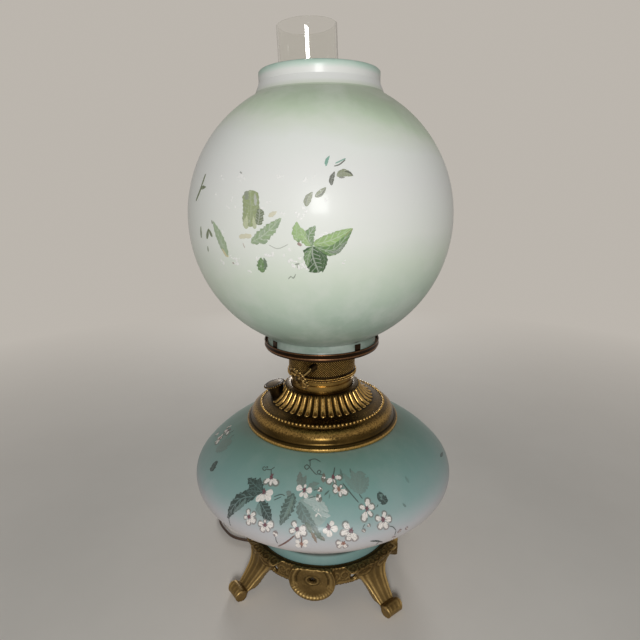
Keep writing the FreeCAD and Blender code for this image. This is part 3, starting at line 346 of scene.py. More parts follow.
# %% Give CAD nodes their finish
for material, names in (
    (black_rubber, "vase_gasket cord_bushing"),
    (cork, "clamp_washer filler_gasket"),
    (zinc, "clamp_plate tie_nipple tie_nut_top tie_nut_bottom"),
    (plain_brass, "font_tank draft_tube wick_tube wick_carrier rack_rod pinion key_shaft"),
    (plain_brass, "holder_adaptor holder_nipple holder_nut lampholder_shell bulb_cap plug_blades"),
    (collar_brass, "burner_neck font_collar"),
    (dark_brass, "burner_band burner_drum filler_neck key_bushing chimney_gallery gallery_prongs"),
    (ring_brass, "shade_ring_tabs shade_ring_skirt"),
    (cotton, "wick"),
    (cord_cover, "inner_lead"),
    (phenolic, "lampholder_body plug_body"),
    (filament_metal, "bulb_filament"),
    (clear_glass, "chimney bulb_glass"),
):
    for name in names.split():
        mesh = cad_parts[name].data
        mesh.materials.clear()
        mesh.materials.append(material)
    print(material.name, names)

# %% [markdown]
# The cord is one smooth line: out below the bowl, round behind the lamp, and into a coil of
# four layers that keeps the length the photograph doesn't show. A NURBS curve with a few
# control points per bend lies like a real flex. Circles shrink a little inside their control
# points, so the coil's points stand out by that share.

# %% Cord: its route
cord_diameter = 3.5
cord_radius = cord_diameter / 2
exit_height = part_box("cord_bushing")[0].z / MM
route = [
    (0.0, 0.0, exit_height),
    (0.0, 0.0, 15.5),
    (-6.0, 0.0, 6.9),
    (-15.3, 0.3, 3.15),
    (-31.0, 0.8, cord_radius),
    (-56.0, -1.0, cord_radius),
    (-85.3, 0.0, cord_radius),
    (-102.4, 3.2, cord_radius),
    (-113.9, 13.3, cord_radius),
    (-123.6, 24.1, cord_radius),
    (-130.6, 40.0, cord_radius),
    (-131.0, 58.5, cord_radius),
    (-125.0, 78.0, cord_radius),
    (-109.0, 97.0, cord_radius),
    (-85.0, 110.5, cord_radius),
    (-60.5, 122.0, cord_radius),
]
coil_turn_radius = 21.0
coil_pitch = 4.45
coil_layers = 4
spiral_quarters = 9
climb_quarters = 2
coil_centre = (-24.0, 160.0)
points_per_quarter = 3
coil_outer = coil_turn_radius + coil_pitch * spiral_quarters / 8
coil_stand_out = 1 / math.cos(math.pi / (4 * points_per_quarter)) ** 2
plug_centre_height = 5.5


def coil_point(quarters):
    """Spirals in and out by turns, with a climb of a layer between them."""
    layer_quarters = spiral_quarters + climb_quarters
    layer = min(int(quarters // layer_quarters), coil_layers - 1)
    along = quarters - layer * layer_quarters
    spiral = min(along, spiral_quarters) / 4
    climb = max(along - spiral_quarters, 0) / climb_quarters
    step_in = spiral if layer % 2 == 0 else spiral_quarters / 4 - spiral
    radius = (coil_outer - coil_pitch * step_in) * coil_stand_out
    turn = math.pi - quarters * math.pi / 2
    height = cord_radius + coil_pitch * (layer + climb)
    return (coil_centre[0] + radius * math.cos(turn), coil_centre[1] + radius * math.sin(turn), height)


coil_quarters = coil_layers * spiral_quarters + (coil_layers - 1) * climb_quarters
route += [(coil_centre[0] - coil_outer, back, cord_radius) for back in (139.5, 156.5)]
route += [coil_point(step / points_per_quarter) for step in range(1, coil_quarters * points_per_quarter + 1)]
coil_top = route[-1][2]
# From the coil's end to the plug: across, forward, and the share of the way down
for across, back, down in ((0, -12.5, 0), (3.5, -22.5, 0.35), (12, -31.5, 0.85), (23.5, -36.5, 1), (35, -38.5, 1)):
    height = coil_top - down * (coil_top - plug_centre_height)
    route.append((coil_centre[0] + coil_outer + across, coil_centre[1] + back, height))
print("cord points", len(route))

# %% Cord: its curve
cord_data = bpy.data.curves.new("lamp_cord", "CURVE")
cord_data.dimensions = "3D"
cord_data.bevel_depth = cord_radius * MM
cord_data.bevel_resolution = cord_data.resolution_u = 4
cord_data.use_fill_caps = True
spline = cord_data.splines.new("NURBS")
spline.points.add(len(route) - 1)
for point, place in zip(spline.points, route):
    point.co = (*(value * MM for value in place), 1.0)
spline.order_u = 3
spline.use_endpoint_u = True
lamp_cord = new_object("lamp_cord", cord_data)
cord_data.materials.append(cord_cover)
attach(lamp_cord, "foot")
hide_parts("cord", "cord_coil", "cord_tail")

# %% [markdown]
# Most of the lamp is round about one axis, so one helper turns an outline into a mesh. Its
# rows follow the outline and its columns go round. A rule may push each point out, which is
# how flutes are cut. Points on the axis are merged into one, so that poles are closed.


# %% Small helpers for meshes
def add_object(name, mesh, material, body, slot, *nodes):
    """Makes a finished piece: a finish, a body, and the CAD nodes that it stands for."""
    piece = new_object(name, mesh)
    mesh.materials.clear()
    mesh.materials.append(material)
    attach(piece, body)
    if nodes:
        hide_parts(*nodes)
    print(name, len(mesh.polygons), "faces")


def smooth(mesh, angle=40.0):
    mesh.shade_smooth()
    mesh.set_sharp_from_angle(angle=math.radians(angle))


def vectors_of(mesh, name="co"):
    """One vector for each of the mesh's points."""
    values = np.empty(len(mesh.vertices) * 3)
    mesh.vertices.foreach_get(name, values)
    return values.reshape(-1, 3)


def points_of(mesh):
    """The mesh's points in millimetres, and their distances from the axis."""
    spots = vectors_of(mesh) / MM
    return spots, np.hypot(spots[:, 0], spots[:, 1])


def set_relief(mesh, values):
    """One number for the whole mesh, or one for each point."""
    values = np.broadcast_to(np.asarray(values, np.float32), len(mesh.vertices))
    mesh.attributes.new("relief", "FLOAT", "POINT").data.foreach_set("value", np.ascontiguousarray(values))


def mesh_from(name, points, faces, angle=40.0):
    """A smooth mesh from points in millimetres, with coinciding points merged."""
    mesh = bpy.data.meshes.new(name)
    mesh.from_pydata((np.asarray(points, float) * MM).tolist(), [], [list(face) for face in faces])
    with forming(mesh) as form:
        bmesh.ops.remove_doubles(form, verts=form.verts[:], dist=1e-7)
    smooth(mesh, angle)
    return mesh


def evaluated(holder):
    """The plain mesh that an object's modifiers make; the object is removed."""
    shown = holder.evaluated_get(bpy.context.evaluated_depsgraph_get())
    made = bpy.data.meshes.new_from_object(shown)
    holder.modifiers.clear()
    bpy.data.objects.remove(holder)
    return made


def placed(place, way):
    """The matrix that puts a piece at a place in millimetres, with its Z along way."""
    return Matrix.Translation(Vector(place) * MM) @ Vector(way).to_track_quat("Z", "Y").to_matrix().to_4x4()


def bell(distance, half):
    """1 at no distance, falling smoothly to 0 at half."""
    return np.where(np.abs(distance) < half, 0.5 + 0.5 * np.cos(np.pi * distance / half), 0.0)


# %% Outlines
def arc(centre, radius, start, end, count):
    """Points of an arc, in degrees above the horizontal, without its first point."""
    steps = [math.radians(start + (end - start) * (step + 1) / count) for step in range(count)]
    return [(centre[0] + radius * math.cos(turn), centre[1] + radius * math.sin(turn)) for turn in steps]


def resample(points, spacing):
    """The same outline in even steps no longer than spacing, with every corner kept."""
    result = [points[0]]
    for start, end in zip(points, points[1:]):
        count = max(1, math.ceil(math.dist(start, end) / spacing))
        for step in range(1, count + 1):
            share = step / count
            result.append(tuple(a + (b - a) * share for a, b in zip(start, end)))
    return result


def flow(points, steps):
    """A smooth line through the points, with that many steps between two of them."""
    points = np.array(points, float)
    padded = np.vstack([2 * points[0] - points[1], points, 2 * points[-1] - points[-2]])
    places = np.linspace(0, len(points) - 1, (len(points) - 1) * steps + 1)
    span = np.minimum(places.astype(int), len(points) - 2)
    part = (places - span)[:, None]
    before, start, end, after = (padded[span + shift] for shift in range(4))
    bend = (2 * before - 5 * start + 4 * end - after) * part ** 2
    twist = (3 * start - before - 3 * end + after) * part ** 3
    return 0.5 * (2 * start + (end - before) * part + bend + twist)


# %% Turned shapes
def turned_mesh(name, outline, turns, push=None, angle=40.0):
    """A closed outline of (radius, height) in millimetres, turned about the axis. Turns are
    the columns' angles, or how many even columns there are."""
    outline = np.array(outline, float)
    if isinstance(turns, int):
        turns = np.arange(turns) * TURN / turns
    rows, columns = len(outline), len(turns)
    radius, height = (np.repeat(column[:, None], columns, axis=1) for column in outline.T)
    if push is not None:
        ahead = np.roll(outline, -1, axis=0) - np.roll(outline, 1, axis=0)
        away = np.stack([ahead[:, 1], -ahead[:, 0]], axis=1)
        away /= np.maximum(np.linalg.norm(away, axis=1), 1e-9)[:, None]
        amount = push(outline, turns)
        radius = radius + amount * away[:, 0][:, None]
        height = height + amount * away[:, 1][:, None]
    places = np.stack([radius * np.sin(turns), -radius * np.cos(turns), height], axis=-1)
    index = np.arange(rows * columns).reshape(rows, columns)
    right, above = np.roll(index, -1, axis=1), np.roll(index, -1, axis=0)
    faces = np.stack([index, right, np.roll(above, -1, axis=1), above], axis=-1).reshape(-1, 4)
    return mesh_from(name, places.reshape(-1, 3), faces.tolist(), angle)


def even_turns(front_columns, back_columns, front_from, front_to):
    """Column angles, closer together between two azimuths at the front."""
    low, high = math.radians(front_from), math.radians(front_to)
    front = low + (high - low) * np.arange(front_columns) / front_columns
    back = high + (TURN - (high - low)) * np.arange(back_columns) / back_columns
    return np.concatenate([front, back])


# %% Small solids: a bead, and a tube along a line
def bead(place, radius, relief):
    mesh = bpy.data.meshes.new("bead")
    with forming(mesh) as form:
        at = Matrix.Translation(Vector(place) * MM)
        bmesh.ops.create_uvsphere(form, u_segments=8, v_segments=5, radius=radius * MM, matrix=at)
    smooth(mesh, 180.0)
    set_relief(mesh, relief)
    return mesh


def tube(name, line, radii, sides, up, relief):
    """A round bar along a flat line; up is square to the line's plane."""
    line, up = np.array(line, float), np.array(up, float)
    ahead = np.gradient(line, axis=0)
    ahead /= np.linalg.norm(ahead, axis=1)[:, None]
    across = np.cross(ahead, up)
    turns = np.arange(sides) * TURN / sides
    ring = np.cos(turns)[None, :, None] * across[:, None, :] + np.sin(turns)[None, :, None] * up[None, None, :]
    places = (line[:, None, :] + ring * radii[:, None, None]).reshape(-1, 3)
    index = np.arange(len(line) * sides).reshape(len(line), sides)
    beside = np.roll(index, -1, axis=1)
    faces = np.stack([index[:-1], index[1:], beside[1:], beside[:-1]], axis=-1).reshape(-1, 4).tolist()
    mesh = mesh_from(name, places, faces + [index[0].tolist(), index[-1][::-1].tolist()], 60.0)
    set_relief(mesh, relief)
    return mesh


# %% [markdown]
# Ribs, beads, knurling and flutes all repeat round an axis. A Geometry Nodes tree does that:
# it takes one piece at its place, puts turned instances of it round the axis, row upon row,
# with every second row shifted by half a step, and makes them real.


# %% A tree that repeats a piece round the axis
def make_ring_of_copies():
    inputs = {"Geometry": "Geometry", "Count": "Int", "Rows": "Int", "Row Rise": "Float", "Material": "Material"}
    graph, given, result = new_group("ring_of_copies", inputs, {"Geometry": "Geometry"}, "GeometryNodeTree")
    index, count = graph.add("GeometryNodeInputIndex")[0], given["Count"]
    row = graph.math("FLOOR", graph.math("DIVIDE", index, count))
    shift = graph.times(graph.math("FLOORED_MODULO", row, 2.0), 0.5)
    column = graph.plus(graph.math("FLOORED_MODULO", index, count), shift)
    turn = graph.times(graph.math("DIVIDE", column, count), TURN)
    rise = graph.add("ShaderNodeCombineXYZ", Z=graph.times(row, given["Row Rise"]))
    points = graph.add("GeometryNodePoints", Count=graph.times(count, given["Rows"]), Position=rise[0])
    rotation = graph.add("FunctionNodeEulerToRotation", Euler=graph.add("ShaderNodeCombineXYZ", Z=turn)[0])
    copies = graph.add("GeometryNodeInstanceOnPoints", Points=points[0], Instance=given["Geometry"],
                       Rotation=rotation[0])
    real = graph.add("GeometryNodeRealizeInstances", Geometry=copies[0])
    finish = graph.add("GeometryNodeSetMaterial", Geometry=real[0], Material=given["Material"])
    graph.feed(result[0], finish[0])
    return graph.tree


ring_of_copies = make_ring_of_copies()


def repeat_round(name, mesh, material, count, rows=1, rise=0.0):
    """Copies of a mesh round the axis, made into one plain mesh."""
    holder = new_object(name, mesh)
    modifier = holder.modifiers.new("copies", "NODES")
    modifier.node_group = ring_of_copies
    wanted = {"Count": count, "Rows": rows, "Row Rise": rise * MM, "Material": material}
    for item in ring_of_copies.interface.items_tree:
        if item.in_out == "INPUT" and item.name in wanted:
            modifier[item.identifier] = wanted[item.name]
    made = evaluated(holder)
    made.name = name
    return made


def cut_round(mesh, place, way, radius, length):
    """The mesh less a round cutter centred on a place."""
    cutter = bpy.data.meshes.new("cutter")
    with forming(cutter) as form:
        bmesh.ops.create_cone(form, cap_ends=True, segments=64, radius1=radius * MM, radius2=radius * MM,
                              depth=length * MM, matrix=placed(place, way))
    holder, blade = new_object("cut", mesh), new_object("blade", cutter)
    modifier = holder.modifiers.new("cut", "BOOLEAN")
    modifier.operation, modifier.solver, modifier.use_self = "DIFFERENCE", "EXACT", True
    modifier.object = blade
    made = evaluated(holder)
    bpy.data.objects.remove(blade)
    return made


print("tree", ring_of_copies.name)

# %% [markdown]
# The font's shoulder is spun brass: a rolled flange over the bowl's mouth, a groove, a
# smooth band, a row of beads, and a cove with forty pressed ribs that climb to the burner.
# The CAD solid has the plain profile. Here its outline is turned again in finer steps, and
# the beads and ribs are copies of one bead and one rib. The filler's hole is cut at its place.

# %% Shoulder
filler_seat = (-43.18, -6.07, 181.8)
filler_way = (-0.2729549, -0.0383613, 0.9612617)
filler_hole_radius = 7.2
cap_clear_radius = 11.3
rib_count, bead_count = 40, 100
cove_outer, cove_inner, cove_low, cove_rise = 49.02, 35.11, 179.67, 14.02


def cove_height(reach):
    return cove_low + ((cove_outer - reach) / (cove_outer - cove_inner)) ** 2 * cove_rise


def shoulder_outline():
    flange = [
        (59.2, 158.5), (72.5, 158.5), (73.1, 158.8), (73.4, 159.4), (73.4, 160.9),
        (73.1, 161.6), (72.4, 161.9), (71.2, 162.4), (70.5, 163.37),
    ]
    band = flow([(69.47, 164.35), (68.9, 168.2), (66.78, 171.19), (63.6, 173.4), (60.57, 174.78)], 5)
    groove = [
        (60.3, 175.7), (60.15, 176.2), (59.4, 175.9), (58.5, 176.5), (57.4, 176.9),
        (53.53, 177.87), (51.0, 178.9),
    ]
    cove = [(reach, cove_height(reach)) for reach in np.linspace(cove_outer, cove_inner, 16)]
    inner = [
        (34.2, 194.3), (30.3, 194.5), (30.3, 193.3), (34.1, 192.4), (38.7, 185.5), (48.6, 178.5),
        (53.3, 176.7), (57.6, 175.5), (59.0, 174.2), (62.4, 172.6), (65.7, 170.2), (67.6, 167.2),
        (68.3, 164.1), (69.4, 162.7), (70.8, 161.2), (70.8, 159.7), (59.2, 159.7),
    ]
    return flange + [tuple(point) for point in band] + groove + cove + inner


shoulder = turned_mesh("ribbed_shoulder", shoulder_outline(), 240)
shoulder = cut_round(shoulder, filler_seat, filler_way, filler_hole_radius, 30.0)
smooth(shoulder)
spots, reach = points_of(shoulder)
level = spots[:, 2]
# Bright rings at the flange's rim, the smooth band, the bead row and the top: wear and painted highlight. Dark in the
# rib cove, the groove and the bead seat: dirt and painted shade.
rubbed_and_highlit = 0.45 * bell(level - 171.5, 4.0) + 0.75 * bell(reach - 73.4, 1.6) + 0.45 * bell(reach - 32.6, 1.8)
rubbed_and_highlit += 0.3 * bell(reach - 55, 3.5)
hollow_dirt_and_shade = 0.75 * ((reach > 34.5) & (reach < 50.2)) + 1.0 * bell(level - 163.2, 1.3) + 0.8 * bell(reach - 59.4, 1.2)
set_relief(shoulder, rubbed_and_highlit - hollow_dirt_and_shade)
add_object("ribbed_shoulder", shoulder, burner_brass, "font", "burner_brass", "font_dome")

# %% Ribs and beads of the shoulder
rib_outer, rib_inner, rib_height, rib_sunk, rib_share = 49.4, 35.0, 1.25, 0.25, 0.34


def shoulder_rib():
    """A half-round rib up the cove, rounded at both ends."""
    share = np.array([0, 0.02, 0.06, 0.12, 0.2, 0.3, 0.4, 0.5, 0.6, 0.7, 0.8, 0.9, 0.97, 1.0])
    reach = rib_outer + (rib_inner - rib_outer) * share
    start, end = np.clip(share / 0.14, 0, 1), np.clip((1 - share) / 0.04, 0, 1)
    width = rib_share * TURN * reach / rib_count * np.sqrt(start * (2 - start)) * end ** 0.5
    turns = np.linspace(0, math.pi, 7)
    points = []
    for radius, half in zip(reach, width):
        slope = 2 * cove_rise * (cove_outer - radius) / (cove_outer - cove_inner) ** 2
        bent = math.hypot(1, slope)
        for turn in turns:
            out = rib_height * min(half, 1.6) / 1.6 * math.sin(turn) - rib_sunk
            points.append((half * math.cos(turn), -(radius + out * slope / bent), cove_height(radius) + out / bent))
    index = np.arange(len(points)).reshape(len(reach), len(turns))
    beside = np.roll(index, -1, axis=1)
    faces = np.stack([index[:-1], beside[:-1], beside[1:], index[1:]], axis=-1).reshape(-1, 4).tolist()
    mesh = mesh_from("rib", points, faces, 60.0)
    with forming(mesh) as form:
        bmesh.ops.recalc_face_normals(form, faces=form.faces[:])
    return mesh


ribs = repeat_round("shoulder_ribs", shoulder_rib(), burner_brass, rib_count)
ribs = cut_round(ribs, filler_seat, filler_way, cap_clear_radius, 60.0)
smooth(ribs, 60.0)
spots, reach = points_of(ribs)
# Bright along each rib's crest: wear and a painted highlight.
set_relief(ribs, 0.15 + 0.7 * bell((spots[:, 2] - cove_height(reach) - 1.1) / 1.1, 1.0))
add_object("shoulder_ribs", ribs, burner_brass, "font", "burner_brass")
beads = repeat_round("shoulder_beads", bead((0, -59.35, 176.1), 1.5, 0.62), burner_brass, bead_count)
add_object("shoulder_beads", beads, burner_brass, "font", "burner_brass")

# %% [markdown]
# The burner's drum is knurled with small diamonds, and the band below it carries two rows of
# fine beads. Each is one small solid, repeated by the same tree: the beads some hundreds of
# times, and the diamonds over a thousand times.

# %% Knurling and bead rows
drum_radius, drum_low = 31.2, 211.4
knurl_pitch, knurl_count, knurl_rows, knurl_height, knurl_sunk = 2.1, 93, 14, 0.42, 0.05


def knurl_diamond():
    """A low pyramid with a flat top and a point at its back."""
    def diamond(reach, half):
        return [(x * half, -reach, drum_low + z * half) for x, z in ((-1, 0), (0, -1), (1, 0), (0, 1))]

    seat = drum_radius - knurl_sunk
    points = diamond(seat, knurl_pitch / 2) + diamond(drum_radius + knurl_height, knurl_pitch / 4)
    faces = [(0, 1, 5, 4), (1, 2, 6, 5), (2, 3, 7, 6), (3, 0, 4, 7), (4, 5, 6, 7)]
    faces += [(1, 0, 8), (2, 1, 8), (3, 2, 8), (0, 3, 8)]
    mesh = mesh_from("diamond", points + [(0, -(seat - 0.3), drum_low)], faces, 10.0)
    # Tops bright, feet and point dark: wear and painted highlight on top, dirt and painted shade between the diamonds.
    set_relief(mesh, [-1.0] * 4 + [0.7] * 4 + [-1.0])
    return mesh


knurl = repeat_round("drum_knurl", knurl_diamond(), burner_brass, knurl_count, knurl_rows, knurl_pitch / 2)
add_object("drum_knurl", knurl, burner_brass, "font", "burner_brass")
band_beads = repeat_round("band_beads", bead((0, -32.3, 206.25), 0.78, 0.7), burner_brass, 132, 2, 2.0)
add_object("band_beads", band_beads, burner_brass, "font", "burner_brass")

# %% [markdown]
# The shade ring is a spun brass cup with a rolled bead at its top and bottom. In the
# photograph it is dark, with a reddish lower bead.

# %% Shade ring
ring_low, ring_high = (corner.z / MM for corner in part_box("shade_ring"))
ring_floor_inner, ring_seat, ring_wall = 44.5, 52.95, 1.0


def shade_ring_outline():
    outline = [(ring_floor_inner, ring_low), (52.2, ring_low)]
    outline += arc((52.9, ring_low + 1.1), 1.1, -90, 75, 6)
    outline += [(53.25, ring_low + 2.5), (53.3, ring_high - 2.2)]
    outline += arc((53.2, ring_high - 0.9), 0.8, -60, 90, 6) + [(53.0, ring_high - 0.4)]
    return outline + [(ring_seat, ring_low + ring_wall), (ring_floor_inner, ring_low + ring_wall)]


shade_ring = turned_mesh("shade_ring_moulded", shade_ring_outline(), 160)
above_floor = points_of(shade_ring)[0][:, 2] - ring_low
top_bead = bell(above_floor - (ring_high - ring_low) + 0.8, 1.0)
# The two beads are bright and the hollow above the lower bead is dark: wear and painted highlight, dirt and painted
# shade.
set_relief(shade_ring, 0.9 * bell(above_floor - 1.1, 1.2) + 0.6 * top_bead - 0.5 * bell(above_floor - 3.4, 1.4))
add_object("shade_ring_moulded", shade_ring, ring_brass, "shade_ring", "burner_brass", "shade_ring")

# %% [markdown]
# The wick key is a small cast wheel of scrolls. It is built flat round its own axis, where
# the repeating tree works, and then moved to the end of its slanting shaft.

# %% Wick key
wheel_centre = (-14.18, -42.47, 213.1)
shaft_way = (-0.62957, -0.65194, -0.42262)
wheel_rim, scroll_count, scroll_steps = 10.9, 6, 41


def double_scroll(length, curl, steps):
    """An S with both ends curled up: its bend grows evenly from the middle."""
    along = np.linspace(-1, 1, steps)
    turn = curl * along ** 2 * np.pi
    step = length / (steps - 1)
    rise = np.cumsum(np.sin(turn) * np.sign(along))
    line = np.stack([np.cumsum(np.cos(turn)), rise, np.zeros(steps)], axis=1) * step
    return line - line[steps // 2]


def key_scroll():
    line = double_scroll(17.0, 1.35, scroll_steps)
    line = line * (7.2 / np.ptp(line[:, 0]))
    turned = np.stack([line[:, 1] * 0.85, line[:, 0] - 7.0, line[:, 2]], axis=1)
    radii = np.interp(np.linspace(-1, 1, scroll_steps), [-1, 0, 1], [0.9, 1.3, 0.9])
    return tube("scroll", turned, radii, 8, (0, 0, 1), 0.75)


def ring_outline(radius, height, minor, squash=1.0, count=10):
    turns = [step * TURN / count for step in range(count)]
    return [(radius + minor * math.cos(turn), height + squash * minor * math.sin(turn)) for turn in turns]


hub = [(0.0, -3.0), (3.0, -3.0), (3.4, -2.6), (3.4, 1.6), (2.6, 2.6), (1.4, 3.0), (0.0, 3.0)]
# The key's parts are set bright by their relief, beads and scrolls most: wear and a painted highlight on dark brass.
for name, outline, columns, relief in (
    ("key_rim", ring_outline(wheel_rim, 0, 1.2, 0.9), 72, 0.35),
    ("key_inner_ring", ring_outline(4.2, 0.4, 0.8), 40, 0.5),
    ("key_hub", hub, 32, 0.2),
    ("key_beads", bead((0, -11.3, 0), 1.25, 0.8), 20, None),
    ("key_scrolls", key_scroll(), scroll_count, None),
):
    if relief is None:
        mesh = repeat_round(name, outline, dark_brass, columns)
    else:
        mesh = turned_mesh(name, outline, columns)
        set_relief(mesh, relief)
    mesh.transform(placed(wheel_centre, shaft_way))
    mesh.update()
    add_object(name, mesh, dark_brass, "key", "burner_brass", *(["wick_key"] if name == "key_rim" else []))

# %% Filler cap
cap_flutes, flute_depth, flutes_from = 28, 0.3, 10.05
cap_outline = [
    (0.0, 9.9), (7.2, 9.9), (7.2, 6.3), (8.0, 6.3), (8.0, 9.9), (10.2, 9.9), (10.6, 10.2), (10.6, 11.1),
    (10.1, 11.5), (8.9, 11.5), (8.6, 11.3), (8.2, 11.35), (6.0, 11.75), (3.0, 12.0), (0.0, 12.1),
]


def cap_push(outline, turns):
    fluted = (outline[:, 0] > flutes_from).astype(float)
    return fluted[:, None] * flute_depth * (np.cos(turns * cap_flutes) - 1)[None, :]


cap = turned_mesh("fluted_filler_cap", cap_outline, 6 * cap_flutes, cap_push)
spots, reach = points_of(cap)
# The cap's rim, its fluted edge and its top are bright, and a ring at 8.5 mm is dark: wear and painted highlight, dirt
# and painted shade.
rubbed_and_highlit = 0.8 * bell(reach - 10.6, 0.45) + 0.5 * bell(reach - 9.4, 0.9) + 0.25 * (reach < 7.9)
set_relief(cap, rubbed_and_highlit - 0.7 * bell(reach - 8.5, 0.5))
cap.transform(placed(filler_seat, filler_way))
cap.update()
add_object("fluted_filler_cap", cap, dark_brass, "filler_cap", "burner_brass", "filler_cap")

# %% [markdown]
# The foot is cast brass with scrolls, a round boss on each side, and four legs with curled
# toes. Its CAD solid has those forms but smooth faces. A voxel remesh of that solid gives
# small even faces all over, and each of its points is then pressed in where the pattern is
# low. The pattern is a sum of ridges at a distance from lines and circles, so the same rule
# also says where the brass is rubbed bright and where dirt has gathered, and with them where
# a painted highlight and painted shade fall.

# %% Foot: an even mesh of the casting
foot_voxel = 0.98
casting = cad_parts["base_casting"].data.copy()
with forming(casting) as form:
    bmesh.ops.remove_doubles(form, verts=form.verts[:], dist=1e-6)
holder = new_object("foot_casting", casting)
remesh = holder.modifiers.new("even", "REMESH")
remesh.mode = "VOXEL"
remesh.voxel_size = foot_voxel * MM
casting = evaluated(holder)
casting.name = "foot_casting"
print("even faces", len(casting.polygons))

# %% Foot: the pattern
foot_depth = 1.0
foot_height = 42.0
medallion_height = 29.7
apron_reach = 74.0


def spiral(across, up, centre, radius, turns, hand, half):
    """A curl of ridge round a centre."""
    right, above = across - centre[0], up - centre[1]
    reach = np.hypot(right, above)
    turn = np.arctan2(above, hand * right) / TURN
    pitch = radius / turns
    away = reach - radius + pitch * (turn % 1.0)
    near = np.abs((away + pitch / 2) % pitch - pitch / 2)
    return bell(near, half) * (reach < radius + half)


def medallion_pattern(across, up):
    """The round plate on each side: a smooth dish with C-scrolls and a fluted lower edge."""
    reach = np.hypot(across, up)
    bearing = np.degrees(np.arctan2(up, np.abs(across)))
    height = 0.42 + 0.18 * bell(reach - 9.0, 8.0)
    flutes = 0.35 + 0.6 * np.abs(np.cos(19 * np.arctan2(up, across)))
    height = np.where((reach > 15.0) & (bearing < -12), flutes * bell(reach - 18.4, 5.2) ** 0.4, height)
    height = np.maximum(height, 0.85 * bell(reach - 21.3, 1.3))
    height = np.maximum(height, bell(reach - 17.6, 2.1) * (bearing > -16) * (bearing < 62))
    height = np.where(np.abs(reach - 14.8) < 0.8, np.where(bearing > -20, 0.1, height), height)
    height = np.maximum(height, 0.9 * spiral(np.abs(across), up, (8.0, 14.6), 3.6, 1.5, 1, 1.1))
    height = np.maximum(height, 0.9 * spiral(np.abs(across), up, (17.0, -5.4), 2.8, 1.4, -1, 1.0))
    slot = (np.hypot(across / 3.6, up / 2.7) - 1) * 3.0
    height = np.where(slot < 3.4, 0.15, height)
    height = np.maximum(height, 0.95 * bell(slot - 1.6, 1.3))
    shell = bell(np.abs(across) - 0.32 * np.abs(up - 5.0), 0.9) * ((up > 8.0) & (up < 18.0))
    return np.maximum(height, 0.9 * np.maximum(shell, bell(across, 1.1) * ((up > 8.0) & (up < 18.5))))


def leg_pattern(side, level):
    """Long round ridges down a leg; side is 1 at its edge and level is 1 at its top."""
    edge = np.abs(side)
    height = 0.30 + 0.9 * bell(edge - 0.90, 0.20)
    height = np.maximum(height, 0.85 * bell(edge - 0.55, 0.22) * (level < 0.86))
    height = np.maximum(height, 0.62 * bell(edge, 0.20))
    beads = bell(edge, 0.16) * bell(((level * 42) % 2.9) - 1.45, 1.2) * (level > 0.24) * (level < 0.7)
    height = np.maximum(height, 0.8 * beads)
    knee = np.hypot(edge * 13 - 7.0, (level - 0.84) * 42)
    height = np.where(knee < 6.2, 0.2, height)
    height = np.maximum(height, 0.95 * bell(knee - 4.6, 1.5))
    height = np.maximum(height, 0.85 * bell(knee, 2.0))
    return np.where(level < 0.2, np.maximum(0.7, 0.9 * bell(edge - 0.85, 0.25)), height)


def apron_pattern(along, level):
    """Small scrolls in a row below the rim, and a roll along the lower edge."""
    cell = (along % 8.4) - 4.2
    hand = np.where(along > 0, 1, -1)
    height = 0.25 + 0.7 * spiral(cell * hand, level - 32.6, (0.0, 0.0), 4.3, 1.5, 1, 1.0)
    height = np.maximum(height, 0.8 * bell(np.hypot(np.abs(cell) - 4.2, level - 28.8), 1.7))
    height = np.maximum(height, bell(level - 40.4, 1.4) * (0.55 + 0.45 * np.cos(TURN * along / 2.8)))
    rope = 0.8 + 0.2 * np.cos(TURN * (along - level) / 3.0)
    return np.maximum(height, rope * bell(level - 24.6, 2.6))


def rim_pattern(out, along):
    """The top of the rim: a dark groove against the glass, and leafy curls on its outer part."""
    cell = (along % 10.0) - 5.0
    hand = np.where(along > 0, 1, -1)
    curls = 0.2 + 0.75 * spiral(cell * hand, out - 78.8, (0.0, 0.0), 5.0, 1.4, 1, 1.2)
    curls = np.maximum(curls, 0.8 * bell(out - 74.9, 0.9) * (0.6 + 0.4 * np.cos(TURN * along / 2.8)))
    return np.where(out < 73.9, 0.0, curls)


# %% Foot: press the pattern
spots, reach = points_of(casting)
ways = vectors_of(casting, "normal")
reach = np.maximum(reach, 1e-6)
azimuth = np.degrees(np.arctan2(spots[:, 1], spots[:, 0])) % 90.0
outward = (ways[:, 0] * spots[:, 0] + ways[:, 1] * spots[:, 1]) / reach
level = spots[:, 2]

from_boss = (azimuth + 45.0) % 90.0 - 45.0
boss_across = reach * np.sin(np.radians(from_boss))
boss_out = reach * np.cos(np.radians(from_boss))
boss_up = level - medallion_height
on_boss = (np.hypot(boss_across, boss_up) < 22.6) & (boss_out > 73.5) & (outward > 0.2)
from_leg = azimuth - 45.0
leg_side = reach * np.sin(np.radians(from_leg))
leg_levels = [0.0, 0.16, 0.33, 0.52, 0.71, 0.88, 1.0]
leg_shares = [0.28, 0.28, 0.33, 0.42, 0.58, 0.80, 1.0]
leg_half = 30.0 * np.interp(level / foot_height, leg_levels, leg_shares)
on_leg = ~on_boss & (np.abs(leg_side) < leg_half * 1.02) & (reach > 69.0) & (outward > 0.05)
on_apron = ~on_boss & ~on_leg & (reach > 70.0) & (outward > 0.3) & (level > 21.5)
on_rim = (ways[:, 2] > 0.7) & (level > 40.5) & (reach > 68.0)

